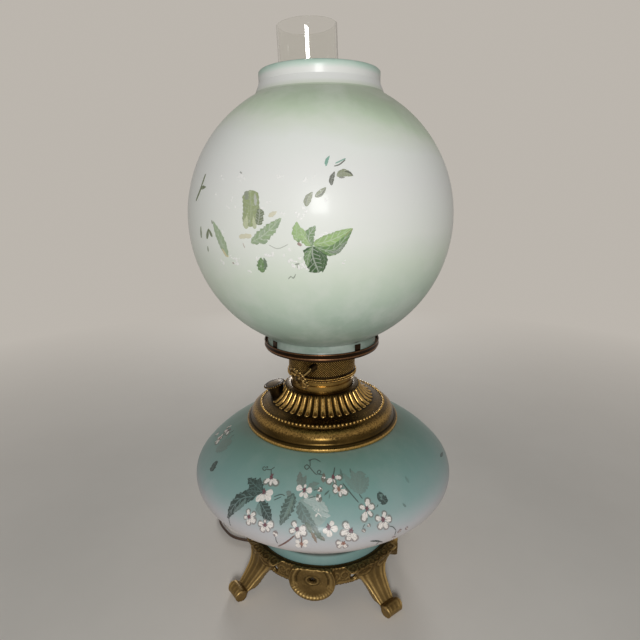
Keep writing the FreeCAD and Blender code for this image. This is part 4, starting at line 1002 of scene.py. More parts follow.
pattern = np.full(len(spots), 0.5)
pattern = np.where(on_boss, medallion_pattern(boss_across, boss_up), pattern)
pattern = np.where(on_leg, leg_pattern(leg_side / leg_half, level / foot_height), pattern)
piercing = np.hypot(np.radians(np.abs(from_boss) - 29.5) * apron_reach, level - 29.0)
along = np.radians(from_boss) * apron_reach
pierced = np.maximum(apron_pattern(along, level) * (piercing > 3.4), 0.9 * bell(piercing - 3.9, 1.0))
pattern = np.where(on_apron, pierced, pattern)
pattern = np.where(on_rim, rim_pattern(reach, along), pattern)
worked = on_boss | on_leg | on_apron | on_rim
press = np.where(worked, (pattern - 1.0) * foot_depth, 0.0)
moved = (spots + ways * press[:, None]) * MM
casting.vertices.foreach_set("co", moved.ravel())
casting.update()
smooth(casting, 180.0)
# High parts of the pattern are bright and low parts dark: wear and dirt, and also painted highlight and painted shade.
set_relief(casting, np.where(worked, pattern * 1.75 - 0.85, 0.0))
add_object("foot_casting", casting, foot_brass, "foot", "cast_brass", "base_casting")
print("worked points", int(worked.sum()), "of", len(spots))

# %% [markdown]
# The glass is painted by hand. Every brush stroke is a real thin layer of paint on the
# glass: a root, a tip, a width and a colour. The script lays a line of points on the
# surface, gives it the width of the brush at each of them, and closes it underneath. Later
# strokes lie a hair higher than earlier ones. The mesh also keeps how far along and how far
# across the stroke a point is, from which the material draws the brush's hairs and the
# veins that were scratched through the wet paint.


# %% Brush
class Skin:
    """The outside of a turned piece: a radius for each height, in millimetres."""

    def __init__(self, outline):
        rows = np.array(outline, float)
        rows = rows[np.argsort(rows[:, 1])]
        self.heights, self.radii = rows[:, 1], rows[:, 0]

    def radius(self, heights):
        return np.interp(heights, self.heights, self.radii)

    def place(self, azimuths, heights):
        turns = np.radians(azimuths)
        radii = self.radius(heights)
        return np.stack([radii * np.sin(turns), -radii * np.cos(turns), heights], axis=-1)

    def normals(self, points):
        turns = np.arctan2(points[..., 0], -points[..., 1])
        slope = (self.radius(points[..., 2] + 0.3) - self.radius(points[..., 2] - 0.3)) / 0.6
        flat = 1 / np.hypot(1, slope)
        return np.stack([flat * np.sin(turns), -flat * np.cos(turns), -slope * flat], axis=-1)

    def lay(self, points, lift):
        """Puts points on the surface, and then out from it by lift."""
        turns = np.arctan2(points[..., 0], -points[..., 1])
        laid = self.place(np.degrees(turns), points[..., 2])
        return laid + self.normals(laid) * lift[..., None]


def leaf(share):
    return np.sin(np.pi * share ** 0.8) ** 0.75


def block(share):
    return np.clip(np.minimum(share, 1 - share) * 7, 0, 1) ** 0.5


def petal(share):
    return np.sin(np.pi * share ** 1.5) ** 0.55


def line(share):
    return np.clip(np.minimum(share, 1 - share) * 12 + 0.35, 0, 1) * (0.75 + 0.25 * np.sin(np.pi * share))


# %% Painter
class Painter:
    """Collects strokes on a skin and makes one mesh of them."""

    # A stroke's section: five points on top, from edge to edge, and two below, in the glass
    across = np.array([-1.0, -0.6, 0.0, 0.6, 1.0, 0.97, -0.97])
    film, film_step, crown, sunk, last_share = 0.05, 0.0008, 0.05, 0.12, 0.998

    def __init__(self, skin, seed):
        self.skin = skin
        self.random = np.random.default_rng(seed)
        self.points, self.faces, self.along, self.colours = [], [], [], []
        self.count, self.order = 0, 0

    def stroke(self, spine, width, colour, profile, veins=0.0, jagged=0.0, strength=1.0, steps=24, turn=0.0):
        places = flow(spine, 8) if len(spine) > 2 else np.linspace(spine[0], spine[1], 9)
        laid = self.skin.place(places[:, 0] + turn, places[:, 1])
        lengths = np.concatenate([[0], np.cumsum(np.linalg.norm(np.diff(laid, axis=0), axis=1))])
        wanted = np.linspace(0, lengths[-1], steps + 1)
        middle = np.stack([np.interp(wanted, lengths, column) for column in laid.T], axis=1)
        normals = self.skin.normals(middle)
        ahead = np.gradient(middle, axis=0)
        ahead /= np.linalg.norm(ahead, axis=1)[:, None]
        beside = np.cross(normals, ahead)
        share = np.linspace(0, 1, steps + 1)
        half = width / 2 * profile(share)
        teeth = max(3, round(lengths[-1] / 3.2))
        left = half * (1 - jagged * ((share * teeth) % 1.0))
        right = half * (1 - jagged * ((share * teeth + 0.4) % 1.0))
        halves = np.where(self.across[None, :] < 0, left[:, None], right[:, None])
        lift = self.film + self.film_step * self.order
        lifts = lift + self.crown * (1 - self.across ** 2)
        lifts[5:] = -self.sunk
        rows = middle[1:-1, None, :] + beside[1:-1, None, :] * (halves[1:-1] * self.across[None, :])[..., None]
        rows = self.skin.lay(rows, np.broadcast_to(lifts, rows.shape[:2]))
        ends = self.skin.lay(middle[[0, -1]], np.array([lift / 2, lift / 2]))
        self.points += [rows.reshape(-1, 3), ends]
        inner = len(rows)
        index = self.count + np.arange(inner * 7).reshape(inner, 7)
        beside_of = np.roll(index, -1, axis=1)
        sides = np.stack([index[:-1], index[1:], beside_of[1:], beside_of[:-1]], axis=-1).reshape(-1, 4)
        start, end = self.count + inner * 7, self.count + inner * 7 + 1
        self.faces += sides.tolist()
        self.faces += [(start, a, b) for a, b in zip(index[0].tolist(), beside_of[0].tolist())]
        self.faces += [(a, end, b) for a, b in zip(index[-1].tolist(), beside_of[-1].tolist())]
        grid_share = np.broadcast_to(share[1:-1, None] * self.last_share + self.order, rows.shape[:2])
        grid_across = np.broadcast_to(self.across[None, :], rows.shape[:2])
        grid = np.stack([grid_share, grid_across, np.full(rows.shape[:2], veins)], axis=-1).reshape(-1, 3)
        tips = np.array([[self.order, 0.0, veins], [self.order + self.last_share, 0.0, veins]])
        self.along += [grid, tips]
        self.colours.append(np.tile(np.array([*colour, strength]), (inner * 7 + 2, 1)))
        self.count += inner * 7 + 2
        self.order += 1

    def dab(self, place, width, colour, strength=1.0, turn=0.0):
        """A short touch of the brush."""
        lean = self.random.uniform(0, TURN)
        rise, across = width * 0.5 * math.sin(lean), width * 0.5 * math.cos(lean) * 0.5
        spine = [(place[0] - across, place[1] - rise), (place[0] + across, place[1] + rise)]
        self.stroke(spine, width * 0.85, colour, petal, 0.0, 0.15, strength, 6, turn)

    def keep(self, name):
        """Makes the mesh and stores the strokes' numbers in it."""
        mesh = bpy.data.meshes.new(name)
        mesh.from_pydata((np.vstack(self.points) * MM).tolist(), [], [list(face) for face in self.faces])
        smooth(mesh, 50.0)
        along = mesh.attributes.new("stroke", "FLOAT_VECTOR", "POINT")
        along.data.foreach_set("vector", np.vstack(self.along).astype(np.float32).ravel())
        colour = mesh.attributes.new("paint_colour", "FLOAT_COLOR", "POINT")
        colour.data.foreach_set("color", np.vstack(self.colours).astype(np.float32).ravel())
        print(name, self.order, "strokes", len(mesh.polygons), "faces")
        return mesh


# %% [markdown]
# Under the painting, both glasses are shaded with a sprayed colour that changes with height.
# That ground is a node group of its own, because the paint needs it too: where a stroke is
# thin or worn, its material shows the ground through it.


# %% Sprayed grounds
def fill_ramp(ramp, low, high, tones):
    """Sets a colour ramp's stops from rows of height in millimetres and colour."""
    stops = ramp.color_ramp.elements
    while len(stops) < len(tones):
        stops.new(0.5)
    for stop, (height, colour) in zip(stops, tones):
        stop.position = (height - low) / (high - low)
        stop.color = (*colour, 1.0)


def make_ground(name, tones, drift, drift_scale, calm_from, lean, veil_colour, veil_share):
    """Colour by height. It drifts in clouds below calm_from, and leans to one side."""
    graph, _, result = new_group(name, {}, {"Color": "Color"})
    place = graph.add("ShaderNodeSeparateXYZ", Vector=graph.add("ShaderNodeTexCoord")["Object"])
    height, low, high = place["Z"], tones[0][0], tones[-1][0]
    cloud = graph.group(clouds, Scale=drift_scale, Contrast=2.0)
    wander = graph.span(cloud["Mask"], 0.0, 1.0, -drift * MM, drift * MM)
    calm = graph.span(height, (calm_from - 8) * MM, calm_from * MM, 1.0, 0.0)
    calm = graph.times(calm, graph.span(height, (low + 22) * MM, (low + 32) * MM))
    side = graph.span(height, lean[0] * MM, lean[1] * MM, -lean[2], lean[2])
    tilt = graph.times(graph.times(place["X"], side), calm)
    level = graph.plus(graph.plus(height, graph.times(wander, calm)), tilt)
    ceiling = graph.span(height, *((calm_from + rise) * MM for rise in (-0.6, 0, -2, 20)))
    ramp = graph.nodes.new("ShaderNodeValToRGB")
    graph.put(ramp, Fac=graph.span(graph.math("MINIMUM", level, ceiling), low * MM, high * MM))
    fill_ramp(ramp, low, high, tones)
    veil = graph.group(clouds, Scale=30.0, Contrast=3.0)["Mask"]
    veil = graph.times(graph.span(veil, 0.35, 0.9), veil_share)
    graph.feed(result[0], graph.mix(veil, ramp.outputs["Color"], veil_colour))
    return graph.tree


# %% Glass and paint over a ground
def make_painted_glass(name, ground, roughness, coat):
    material, graph, shader = new_material(name)
    cloud = graph.group(clouds, Scale=26.0, Contrast=1.6)
    rough = graph.span(cloud["Mask"], 0.1, 0.9, roughness - 0.06, roughness + 0.08)
    graph.put(shader, Base_Color=graph.group(ground)["Color"], Roughness=rough)
    graph.put(shader, Coat_Weight=coat, Coat_Roughness=0.14, Specular_IOR_Level=0.3)
    graph.bump(shader, cloud["Fine"], 0.06, 0.2)
    return material


def make_paint(name, ground, wear_scale, wear_low, wear_high, hair_low, scratched):
    """Paint with brush hairs, scratched veins and worn spots that show the ground."""
    material, graph, shader = new_material(name)
    below, paint = graph.group(ground)["Color"], graph.attribute("paint_colour")
    stroke = graph.add("ShaderNodeSeparateXYZ", Vector=graph.attribute("stroke")["Vector"])
    along, across, veined = stroke["X"], stroke["Y"], stroke["Z"]
    hairs_at = graph.add("ShaderNodeCombineXYZ", X=graph.times(along, 2.3), Y=graph.times(across, 4.2))
    hairs = graph.add("ShaderNodeTexNoise", Vector=hairs_at[0], Scale=1.0, Detail=3.0, Roughness=0.65)["Fac"]
    edge = graph.math("ABSOLUTE", across)
    rib = graph.span(edge, 0.03, 0.13, 1.0, 0.0)
    slant = graph.math("FRACT", graph.minus(graph.times(along, 6.0), edge))
    side_rib = graph.span(graph.math("ABSOLUTE", graph.minus(slant, 0.5)), 0.05, 0.17, 0.75, 0.0)
    veins = graph.times(graph.math("MAXIMUM", rib, side_rib), veined)
    tone = graph.times(graph.span(hairs, 0.3, 0.7, 0.72, 1.22), graph.span(edge, 0.7, 1.0, 1.0, 0.78))
    scaled = graph.nodes.new("ShaderNodeVectorMath")
    scaled.operation = "SCALE"
    graph.feed(scaled.inputs[0], paint["Color"])
    graph.feed(scaled.inputs["Scale"], tone)
    cloud = graph.group(clouds, Scale=wear_scale, Contrast=2.6)
    kept = graph.span(cloud["Fine"], wear_low, wear_high, 1.0, 0.4)
    wet = graph.span(hairs, hair_low, hair_low + 0.12, 0.65, 1.0)
    strength = graph.times(graph.times(kept, wet), paint["Alpha"])
    strength = graph.times(strength, graph.minus(1.0, graph.times(veins, scratched)))
    graph.put(shader, Base_Color=graph.mix(strength, below, scaled.outputs[0]))
    graph.put(shader, Roughness=graph.span(hairs, 0.3, 0.7, 0.34, 0.5))
    graph.bump(shader, hairs, 0.25, 0.12)
    return material


# %% [markdown]
# The shade is opal glass, blown into a ball between a straight collar and a fitter lip, with
# walls three and a half millimetres thick. Its colours are sprayed: sage green under the
# collar, white round the middle, and pale green going greyer to the bottom. Its lowest rows
# are darker still: painted shade under the ball.

# %% Ball shade
shade_low, shade_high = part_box("shade")
ball_radius = shade_high.x / MM
ball_wall = 3.5
lip_radius, lip_height = 50.8, 5.6
throat_radius, throat_height = 47.5, 3.8
collar_radius = 50.3
lip_bottom = shade_low.z / MM
collar_top = shade_high.z / MM
throat_top = lip_bottom + lip_height + throat_height
ball_middle = (0.0, throat_top + math.sqrt(ball_radius ** 2 - throat_radius ** 2))


def shade_outline():
    low = -math.degrees(math.acos(throat_radius / ball_radius))
    high = math.degrees(math.acos(collar_radius / ball_radius))
    inner = ball_radius - ball_wall
    collar_inner = collar_radius - ball_wall
    throat_inner = throat_radius - ball_wall
    inner_low = -math.degrees(math.acos(throat_inner / inner))
    inner_high = math.degrees(math.acos(collar_inner / inner))
    edge = 0.9
    foot = (ball_radius * math.cos(math.radians(low)), ball_middle[1] + ball_radius * math.sin(math.radians(low)))
    outline = resample([
        (lip_radius - edge, lip_bottom), (lip_radius, lip_bottom + edge),
        (lip_radius, lip_bottom + lip_height - edge), (lip_radius - edge, lip_bottom + lip_height), foot,
    ], 2.0)
    outline += arc(ball_middle, ball_radius, low, high, 150)
    ball_top = outline[-1][1]
    outline += resample([
        (collar_radius, ball_top + 1.0), (collar_radius, collar_top - edge), (collar_radius - edge, collar_top),
        (collar_inner + edge, collar_top), (collar_inner, collar_top - edge),
    ], 3.0)
    outline += arc(ball_middle, inner, inner_high, inner_low, 24)
    outline += [(lip_radius - ball_wall, lip_bottom + lip_height), (lip_radius - ball_wall, lip_bottom)]
    return outline


shade_mesh = turned_mesh("opal_ball_shade", shade_outline(), even_turns(200, 130, -75.0, 60.0), angle=50.0)
shade_ground = make_ground("shade_ground", [
    # The two lowest rows are darkened further: painted shade under the ball.
    (235.0, (0.24, 0.30, 0.25)), (250.0, (0.25, 0.33, 0.27)), (262.0, (0.38, 0.48, 0.40)), (281.0, (0.50, 0.62, 0.51)),
    (295.0, (0.60, 0.71, 0.59)), (315.0, (0.72, 0.80, 0.68)), (340.0, (0.84, 0.87, 0.81)), (385.0, (0.86, 0.87, 0.84)),
    (408.0, (0.88, 0.91, 0.86)), (420.0, (0.81, 0.87, 0.75)), (430.0, (0.65, 0.77, 0.58)), (441.0, (0.50, 0.61, 0.44)),
    (449.0, (0.48, 0.55, 0.42)), (451.0, (0.74, 0.78, 0.68)), (454.0, (0.86, 0.87, 0.84)), (461.5, (0.86, 0.87, 0.84)),
    (464.5, (0.60, 0.75, 0.66)), (467.4, (0.38, 0.56, 0.46)),
], 7.0, 14.0, 451.0, (300.0, 420.0, 0.13), (0.88, 0.875, 0.85), 0.22)
shade_glass = make_painted_glass("painted_opal_glass", shade_ground, 0.42, 0.12)
add_object("opal_ball_shade", shade_mesh, shade_glass, "shade", "opal_shade_glass", "shade")

# %% [markdown]
# The shade's painting: big soft leaves in greens and olive, a sprig of four small leaves,
# and white touches that are left of its worn blossoms, two of which are a painted highlight.
# Each row is one stroke of the brush: its line as azimuth and height, its width, colour,
# shape, veins, jaggedness and strength.

# %% Shade painting
olive, pale_olive = (0.22, 0.29, 0.065), (0.40, 0.45, 0.18)
dark_olive, night_olive = (0.09, 0.13, 0.030), (0.050, 0.060, 0.028)
leaf_green, deep_green = (0.095, 0.22, 0.040), (0.025, 0.095, 0.012)
soft_green, light_green = (0.21, 0.34, 0.13), (0.28, 0.46, 0.13)
sage, teal_touch, straw = (0.24, 0.27, 0.15), (0.14, 0.38, 0.28), (0.62, 0.54, 0.26)
chalk, rust = (0.95, 0.95, 0.92), (0.26, 0.12, 0.09)
shade_leaves = [
    ([(-18.8, 349.3), (-18.5, 354.0), (-18.2, 358.7)], 6.0, pale_olive, leaf, 0.5, 0.2, 0.7),
    ([(-15.1, 349.4), (-15.4, 354.1), (-15.6, 358.1)], 4.4, pale_olive, leaf, 0.5, 0.2, 0.7),
    ([(-17.1, 350.7), (-16.6, 363.4), (-17.4, 375.2)], 13.6, olive, block, 0.25, 0.12, 0.8),
    ([(-18.4, 368.6), (-18.6, 374.6)], 5.0, dark_olive, block, 0.0, 0.2, 0.7),
    ([(-14.7, 364.7), (-15.3, 373.2)], 3.4, dark_olive, leaf, 0.0, 0.3, 0.45),
    ([(-13.9, 352.2), (-13.3, 357.5), (-13.1, 363.1)], 7.2, dark_olive, block, 0.9, 0.3, 0.85),
    ([(-22.0, 343.5), (-19.4, 344.4), (-16.5, 344.6)], 3.6, straw, block, 0.0, 0.3, 0.5),
    ([(-9.9, 357.9), (-6.8, 361.2)], 3.6, straw, leaf, 0.0, 0.3, 0.5),
    ([(-17.1, 339.8), (-11.3, 346.3), (-5.2, 357.0)], 10.4, soft_green, leaf, 0.8, 0.35, 0.8),
    ([(-13.0, 342.8), (-12.5, 346.9), (-10.9, 350.3)], 2.4, leaf_green, leaf, 0.0, 0.3, 0.6),
    ([(-12.7, 339.7), (-10.3, 341.9)], 2.6, leaf_green, leaf, 0.0, 0.3, 0.7),
    ([(-8.0, 349.7), (-5.8, 355.0)], 3.2, leaf_green, leaf, 0.0, 0.3, 0.7),
    ([(-28.7, 328.4), (-31.1, 340.5), (-35.0, 353.7)], 8.6, soft_green, leaf, 0.5, 0.25, 0.75),
    ([(-29.2, 332.7), (-32.1, 341.8)], 3.2, leaf_green, leaf, 0.0, 0.3, 0.5),
    ([(-28.5, 328.4), (-31.2, 334.7)], 4.0, straw, leaf, 0.0, 0.3, 0.75),
    ([(-49.0, 367.0), (-45.6, 376.0), (-43.6, 387.0)], 1.9, dark_olive, line, 0.0, 0.1, 0.9),
    ([(-46.0, 376.8), (-41.3, 377.5)], 3.0, dark_olive, leaf, 0.0, 0.2, 0.9),
    ([(-44.6, 340.1), (-43.9, 349.2)], 2.2, dark_olive, leaf, 0.0, 0.1, 0.85),
    ([(-40.1, 340.0), (-38.1, 348.0)], 3.0, dark_olive, leaf, 0.0, 0.1, 0.85),
    ([(-36.1, 342.1), (-38.0, 347.6)], 2.6, dark_olive, leaf, 0.0, 0.1, 0.85),
    ([(-40.7, 330.5), (-40.3, 334.8)], 1.4, dark_olive, leaf, 0.0, 0.1, 0.8),
    ([(-35.4, 351.5), (-35.7, 354.3)], 1.2, dark_olive, leaf, 0.0, 0.1, 0.7),
    ([(-14.0, 318.9), (-13.9, 324.5), (-13.6, 329.9)], 8.2, leaf_green, leaf, 0.4, 0.4, 0.9),
    ([(-13.0, 320.9), (-12.2, 325.3), (-12.5, 330.0)], 3.4, deep_green, leaf, 0.0, 0.4, 0.8),
    ([(0.6, 341.2), (-0.1, 347.9), (0.1, 354.8)], 7.4, light_green, leaf, 0.4, 0.3, 0.85),
    ([(4.7, 338.5), (2.4, 345.2), (0.8, 351.2)], 8.0, light_green, leaf, 0.5, 0.25, 0.85),
    ([(5.2, 338.5), (3.9, 344.6), (6.3, 352.1)], 8.6, leaf_green, leaf, 0.9, 0.3, 0.85),
    ([(0.5, 340.9), (0.5, 343.9)], 2.8, leaf_green, leaf, 0.0, 0.4, 0.8),
    ([(5.2, 339.5), (11.5, 342.4), (18.9, 349.8)], 9.6, light_green, leaf, 0.7, 0.15, 0.9),
    ([(5.7, 337.9), (12.1, 336.0), (18.6, 349.1)], 8.8, leaf_green, leaf, 0.8, 0.2, 0.92),
    ([(9.8, 335.7), (13.2, 334.9), (16.9, 342.2)], 4.6, deep_green, leaf, 0.5, 0.3, 0.75),
    ([(16.2, 344.9), (18.9, 349.9)], 2.6, olive, leaf, 0.0, 0.2, 0.9),
    ([(5.2, 338.5), (5.3, 331.0), (7.3, 320.0)], 13.0, deep_green, block, 1.0, 0.28, 0.95),
    ([(5.4, 338.5), (3.6, 331.0), (3.3, 324.0)], 7.0, leaf_green, leaf, 0.8, 0.3, 0.85),
    ([(7.0, 335.8), (9.1, 330.3), (8.5, 320.0)], 5.4, deep_green, leaf, 0.4, 0.3, 0.95),
    ([(3.2, 364.4), (3.8, 369.2), (5.4, 373.6)], 5.2, sage, leaf, 0.5, 0.2, 0.9),
    ([(3.2, 364.7), (3.3, 368.6), (4.3, 372.4)], 1.6, night_olive, leaf, 0.0, 0.3, 0.75),
    ([(6.2, 370.5), (7.9, 372.6), (10.0, 376.5)], 4.2, sage, leaf, 0.4, 0.1, 0.9),
    ([(6.5, 370.5), (8.4, 372.3), (10.0, 376.4)], 1.8, night_olive, leaf, 0.0, 0.2, 0.85),
    ([(11.8, 377.6), (11.9, 381.7), (13.1, 386.5)], 3.6, night_olive, leaf, 0.5, 0.2, 0.9),
    ([(13.7, 383.6), (16.4, 385.6), (19.5, 383.7)], 5.4, sage, leaf, 0.4, 0.15, 0.9),
    ([(16.4, 386.4), (18.2, 385.7), (19.6, 383.5)], 1.9, night_olive, leaf, 0.0, 0.2, 0.9),
    ([(14.5, 382.6), (16.6, 382.6)], 1.3, night_olive, leaf, 0.0, 0.2, 0.7),
    ([(10.0, 389.8), (10.4, 393.4), (11.5, 396.6)], 2.4, teal_touch, leaf, 0.0, 0.2, 0.85),
    ([(12.9, 389.8), (14.9, 390.9), (17.2, 394.0)], 0.9, night_olive, line, 0.0, 0.0, 0.8),
    ([(13.4, 391.6), (15.4, 393.2), (17.4, 394.8)], 0.9, teal_touch, line, 0.0, 0.0, 0.8),
    ([(-4.1, 314.9), (-3.0, 316.9), (-2.1, 315.8), (-1.1, 318.8)], 0.7, night_olive, line, 0.0, 0.0, 0.6),
    ([(-10.2, 339.0), (-6.9, 336.6), (-3.0, 339.7)], 0.55, night_olive, line, 0.0, 0.0, 0.4),
    ([(-20.5, 339.5), (-19.8, 336.0)], 0.6, rust, line, 0.0, 0.0, 0.5),
    ([(0.1, 340.5), (1.6, 338.9)], 2.2, rust, block, 0.0, 0.3, 0.75),
    ([(-1.1, 325.7), (0.5, 326.4)], 1.0, night_olive, line, 0.0, 0.0, 0.6),
    ([(-0.4, 326.0), (-0.3, 323.2)], 0.6, night_olive, line, 0.0, 0.0, 0.5),
    ([(-26.9, 324.6), (-26.0, 324.0)], 1.0, rust, line, 0.0, 0.0, 0.6),
    ([(-22.8, 387.2), (-21.8, 386.2)], 1.1, night_olive, line, 0.0, 0.0, 0.55),
]
# Worn blossoms, two of them a painted highlight: place and size of each white touch
shade_dabs = [
    (-22.5, 384.5, 2.6), (-20.9, 384.1, 2.2), (-23.4, 385.5, 1.8), (-22.3, 382.2, 1.6), (-5.9, 384.1, 2.6),
    (-6.6, 383.4, 1.8), (-24.8, 369.2, 1.9), (-26.8, 363.8, 2.0), (-24.0, 363.2, 1.5), (-32.3, 324.1, 2.4),
    (-25.5, 327.4, 2.2), (-24.9, 324.9, 2.6), (-26.6, 328.7, 1.6), (-23.8, 328.0, 1.6), (-19.6, 319.3, 1.9),
    # The first two touches on the next line are a painted highlight, where the lamp glints on the glass.
    (9.1, 345.8, 3.4), (8.1, 343.9, 2.2), (2.8, 362.2, 2.4), (0.1, 359.6, 2.2), (1.1, 356.4, 2.0),
    (2.2, 359.0, 1.6), (-2.7, 328.1, 2.6), (-1.9, 324.6, 2.4), (0.4, 329.6, 2.4), (1.7, 326.1, 3.2),
    (2.4, 323.2, 2.4), (0.8, 323.6, 2.2), (-0.7, 327.4, 1.8), (3.1, 381.3, 2.6), (5.5, 383.8, 1.4),
    (-10.2, 368.7, 1.6), (9.9, 368.4, 1.8), (11.1, 345.1, 1.6), (-10.8, 331.2, 3.0), (-9.6, 332.6, 2.4),
    (-14.9, 329.8, 2.0), (-4.7, 360.9, 1.6), (-33.8, 371.9, 1.6), (-31.6, 383.5, 1.6), (-2.6, 336.4, 2.0),
    (-4.2, 331.5, 1.6), (16.4, 327.1, 1.6), (-30.1, 346.3, 1.6), (-11.9, 362.8, 1.8),
]
painted_turns = np.linspace(-1.13, 1.11, 400)
ball_skin = Skin([
    (ball_radius * math.cos(turn), ball_middle[1] + ball_radius * math.sin(turn)) for turn in painted_turns
])
shade_painter = Painter(ball_skin, 7)


def paint_shade(turn, rise, leaves, dabs):
    draw = shade_painter.random.uniform
    for azimuth, height, width in dabs:
        for touch in range(3):
            place = (azimuth + draw(-0.8, 0.8), height + draw(-1.4, 1.4) + rise)
            shade_painter.dab(place, width * draw(0.7, 1.15), chalk, 1.0, turn)
    for spine, width, colour, profile, veins, jagged, strength in leaves:
        spine = [(azimuth, height + rise) for azimuth, height in spine]
        shade_painter.stroke(spine, width, colour, profile, veins, jagged, strength, 24, turn)


paint_shade(172.0, -4.0, shade_leaves[:36], shade_dabs[8:24])
paint_shade(0.0, 0.0, shade_leaves, shade_dabs)
shade_paint = make_paint("shade_paint", shade_ground, 60.0, 0.58, 0.74, 0.28, 0.45)
add_object("shade_painting", shade_painter.keep("shade_painting"), shade_paint, "shade", "opal_shade_glass")

# %% [markdown]
# The bowl is cased glass, sprayed a greyish turquoise that fades to a lilac white below. A
# dark band in the waist above the foot is painted shadow. Its outline is three arcs that meet
# smoothly, the same as in the CAD.

# %% Bowl
bowl_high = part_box("vase")[1]
equator_radius = bowl_high.x / MM
equator_roundness, shoulder_radius, belly_radius = 19.5, 124.4, 242.3
shoulder_angle, belly_angle = 40.7, -45.3
belly_start = (67.0, 58.2)
mouth = (72.0, bowl_high.z / MM)
bowl_wall = 4.0


def shifted(centre, distance, angle):
    turn = math.radians(angle)
    return (centre[0] + distance * math.cos(turn), centre[1] + distance * math.sin(turn))


level_centre = (equator_radius - equator_roundness, 0.0)
belly_offset = shifted(level_centre, equator_roundness - belly_radius, belly_angle)
rise = belly_start[1] + math.sqrt(belly_radius ** 2 - (belly_start[0] - belly_offset[0]) ** 2) - belly_offset[1]
equator_centre = (level_centre[0], rise)
belly_centre = (belly_offset[0], belly_offset[1] + rise)
shoulder_centre = shifted(equator_centre, equator_roundness - shoulder_radius, shoulder_angle)


def angle_to(centre, point):
    return math.degrees(math.atan2(point[1] - centre[1], point[0] - centre[0]))


belly_from = angle_to(belly_centre, belly_start)
mouth_at = angle_to(shoulder_centre, mouth)
bowl_outside = [belly_start] + arc(belly_centre, belly_radius, belly_from, belly_angle, 52)
bowl_outside += arc(equator_centre, equator_roundness, belly_angle, shoulder_angle, 22)
bowl_outside += arc(shoulder_centre, shoulder_radius, shoulder_angle, mouth_at, 54)


def bowl_outline():
    outline = resample([
        (63.0, 40.0), (68.8, 40.0), (69.5, 40.7), (69.5, 41.5), (67.5, 52.0), (67.1, 52.6),
        (66.3, 54.6), (66.3, 57.2), belly_start,
    ], 2.0)
    outline += bowl_outside[1:] + [(65.5, mouth[1]), (64.2, mouth[1] - 1.0)]
    inner = shoulder_radius - bowl_wall
    inner_high = (64.0, shoulder_centre[1] + math.sqrt(inner ** 2 - (64.0 - shoulder_centre[0]) ** 2))
    outline += [inner_high]
    outline += arc(shoulder_centre, inner, angle_to(shoulder_centre, inner_high), shoulder_angle, 9)
    outline += arc(equator_centre, equator_roundness - bowl_wall, shoulder_angle, belly_angle, 7)
    floor_top = belly_start[1] + 5.0
    inner_belly = belly_radius - bowl_wall
    inner_low = (belly_centre[0] + math.sqrt(inner_belly ** 2 - (floor_top - belly_centre[1]) ** 2), floor_top)
    outline += arc(belly_centre, inner_belly, belly_angle, angle_to(belly_centre, inner_low), 9)
    outline += [(40.0, floor_top), (5.6, floor_top), (5.1, floor_top - 0.5), (5.1, belly_start[1] + 0.5)]
    outline += [(5.6, belly_start[1]), (40.0, belly_start[1]), (59.8, belly_start[1])]
    return outline


bowl_mesh = turned_mesh("painted_bowl", bowl_outline(), even_turns(230, 150, -60.0, 60.0), angle=50.0)
bowl_ground = make_ground("bowl_ground", [
    # From 50.6 to 60 mm the ground is dark: painted shadow in the crease between the foot band and the belly.
    (40.0, (0.19, 0.32, 0.30)), (48.4, (0.21, 0.34, 0.32)), (50.6, (0.04, 0.055, 0.045)),
    (53.0, (0.05, 0.065, 0.055)), (56.0, (0.15, 0.22, 0.205)), (60.0, (0.22, 0.27, 0.255)),
    (62.0, (0.43, 0.385, 0.36)), (72.0, (0.58, 0.52, 0.50)), (100.0, (0.60, 0.56, 0.55)),
    (112.0, (0.53, 0.53, 0.545)), (119.0, (0.41, 0.49, 0.49)), (127.0, (0.29, 0.435, 0.415)),
    # The last rows darken and grey towards the mouth, partly as painted shade under the shoulder's flange.
    (137.0, (0.23, 0.385, 0.355)), (147.0, (0.19, 0.33, 0.29)), (154.0, (0.165, 0.28, 0.235)),
    (158.5, (0.17, 0.235, 0.195)),
], 4.0, 9.0, 170.0, (-1000.0, -900.0, 0.0), (0.62, 0.60, 0.58), 0.08)
bowl_glass = make_painted_glass("painted_bowl_glass", bowl_ground, 0.42, 0.10)
add_object("painted_bowl", bowl_mesh, bowl_glass, "foot", "painted_bowl_glass", "vase")

# %% [markdown]
# A branch of five-petalled blossoms goes round the bowl's front. Each blossom is its petals,
# laid from the heart outwards over a thin dark outline where the photograph shows one, and
# then the heart: a burst of short maroon strokes.

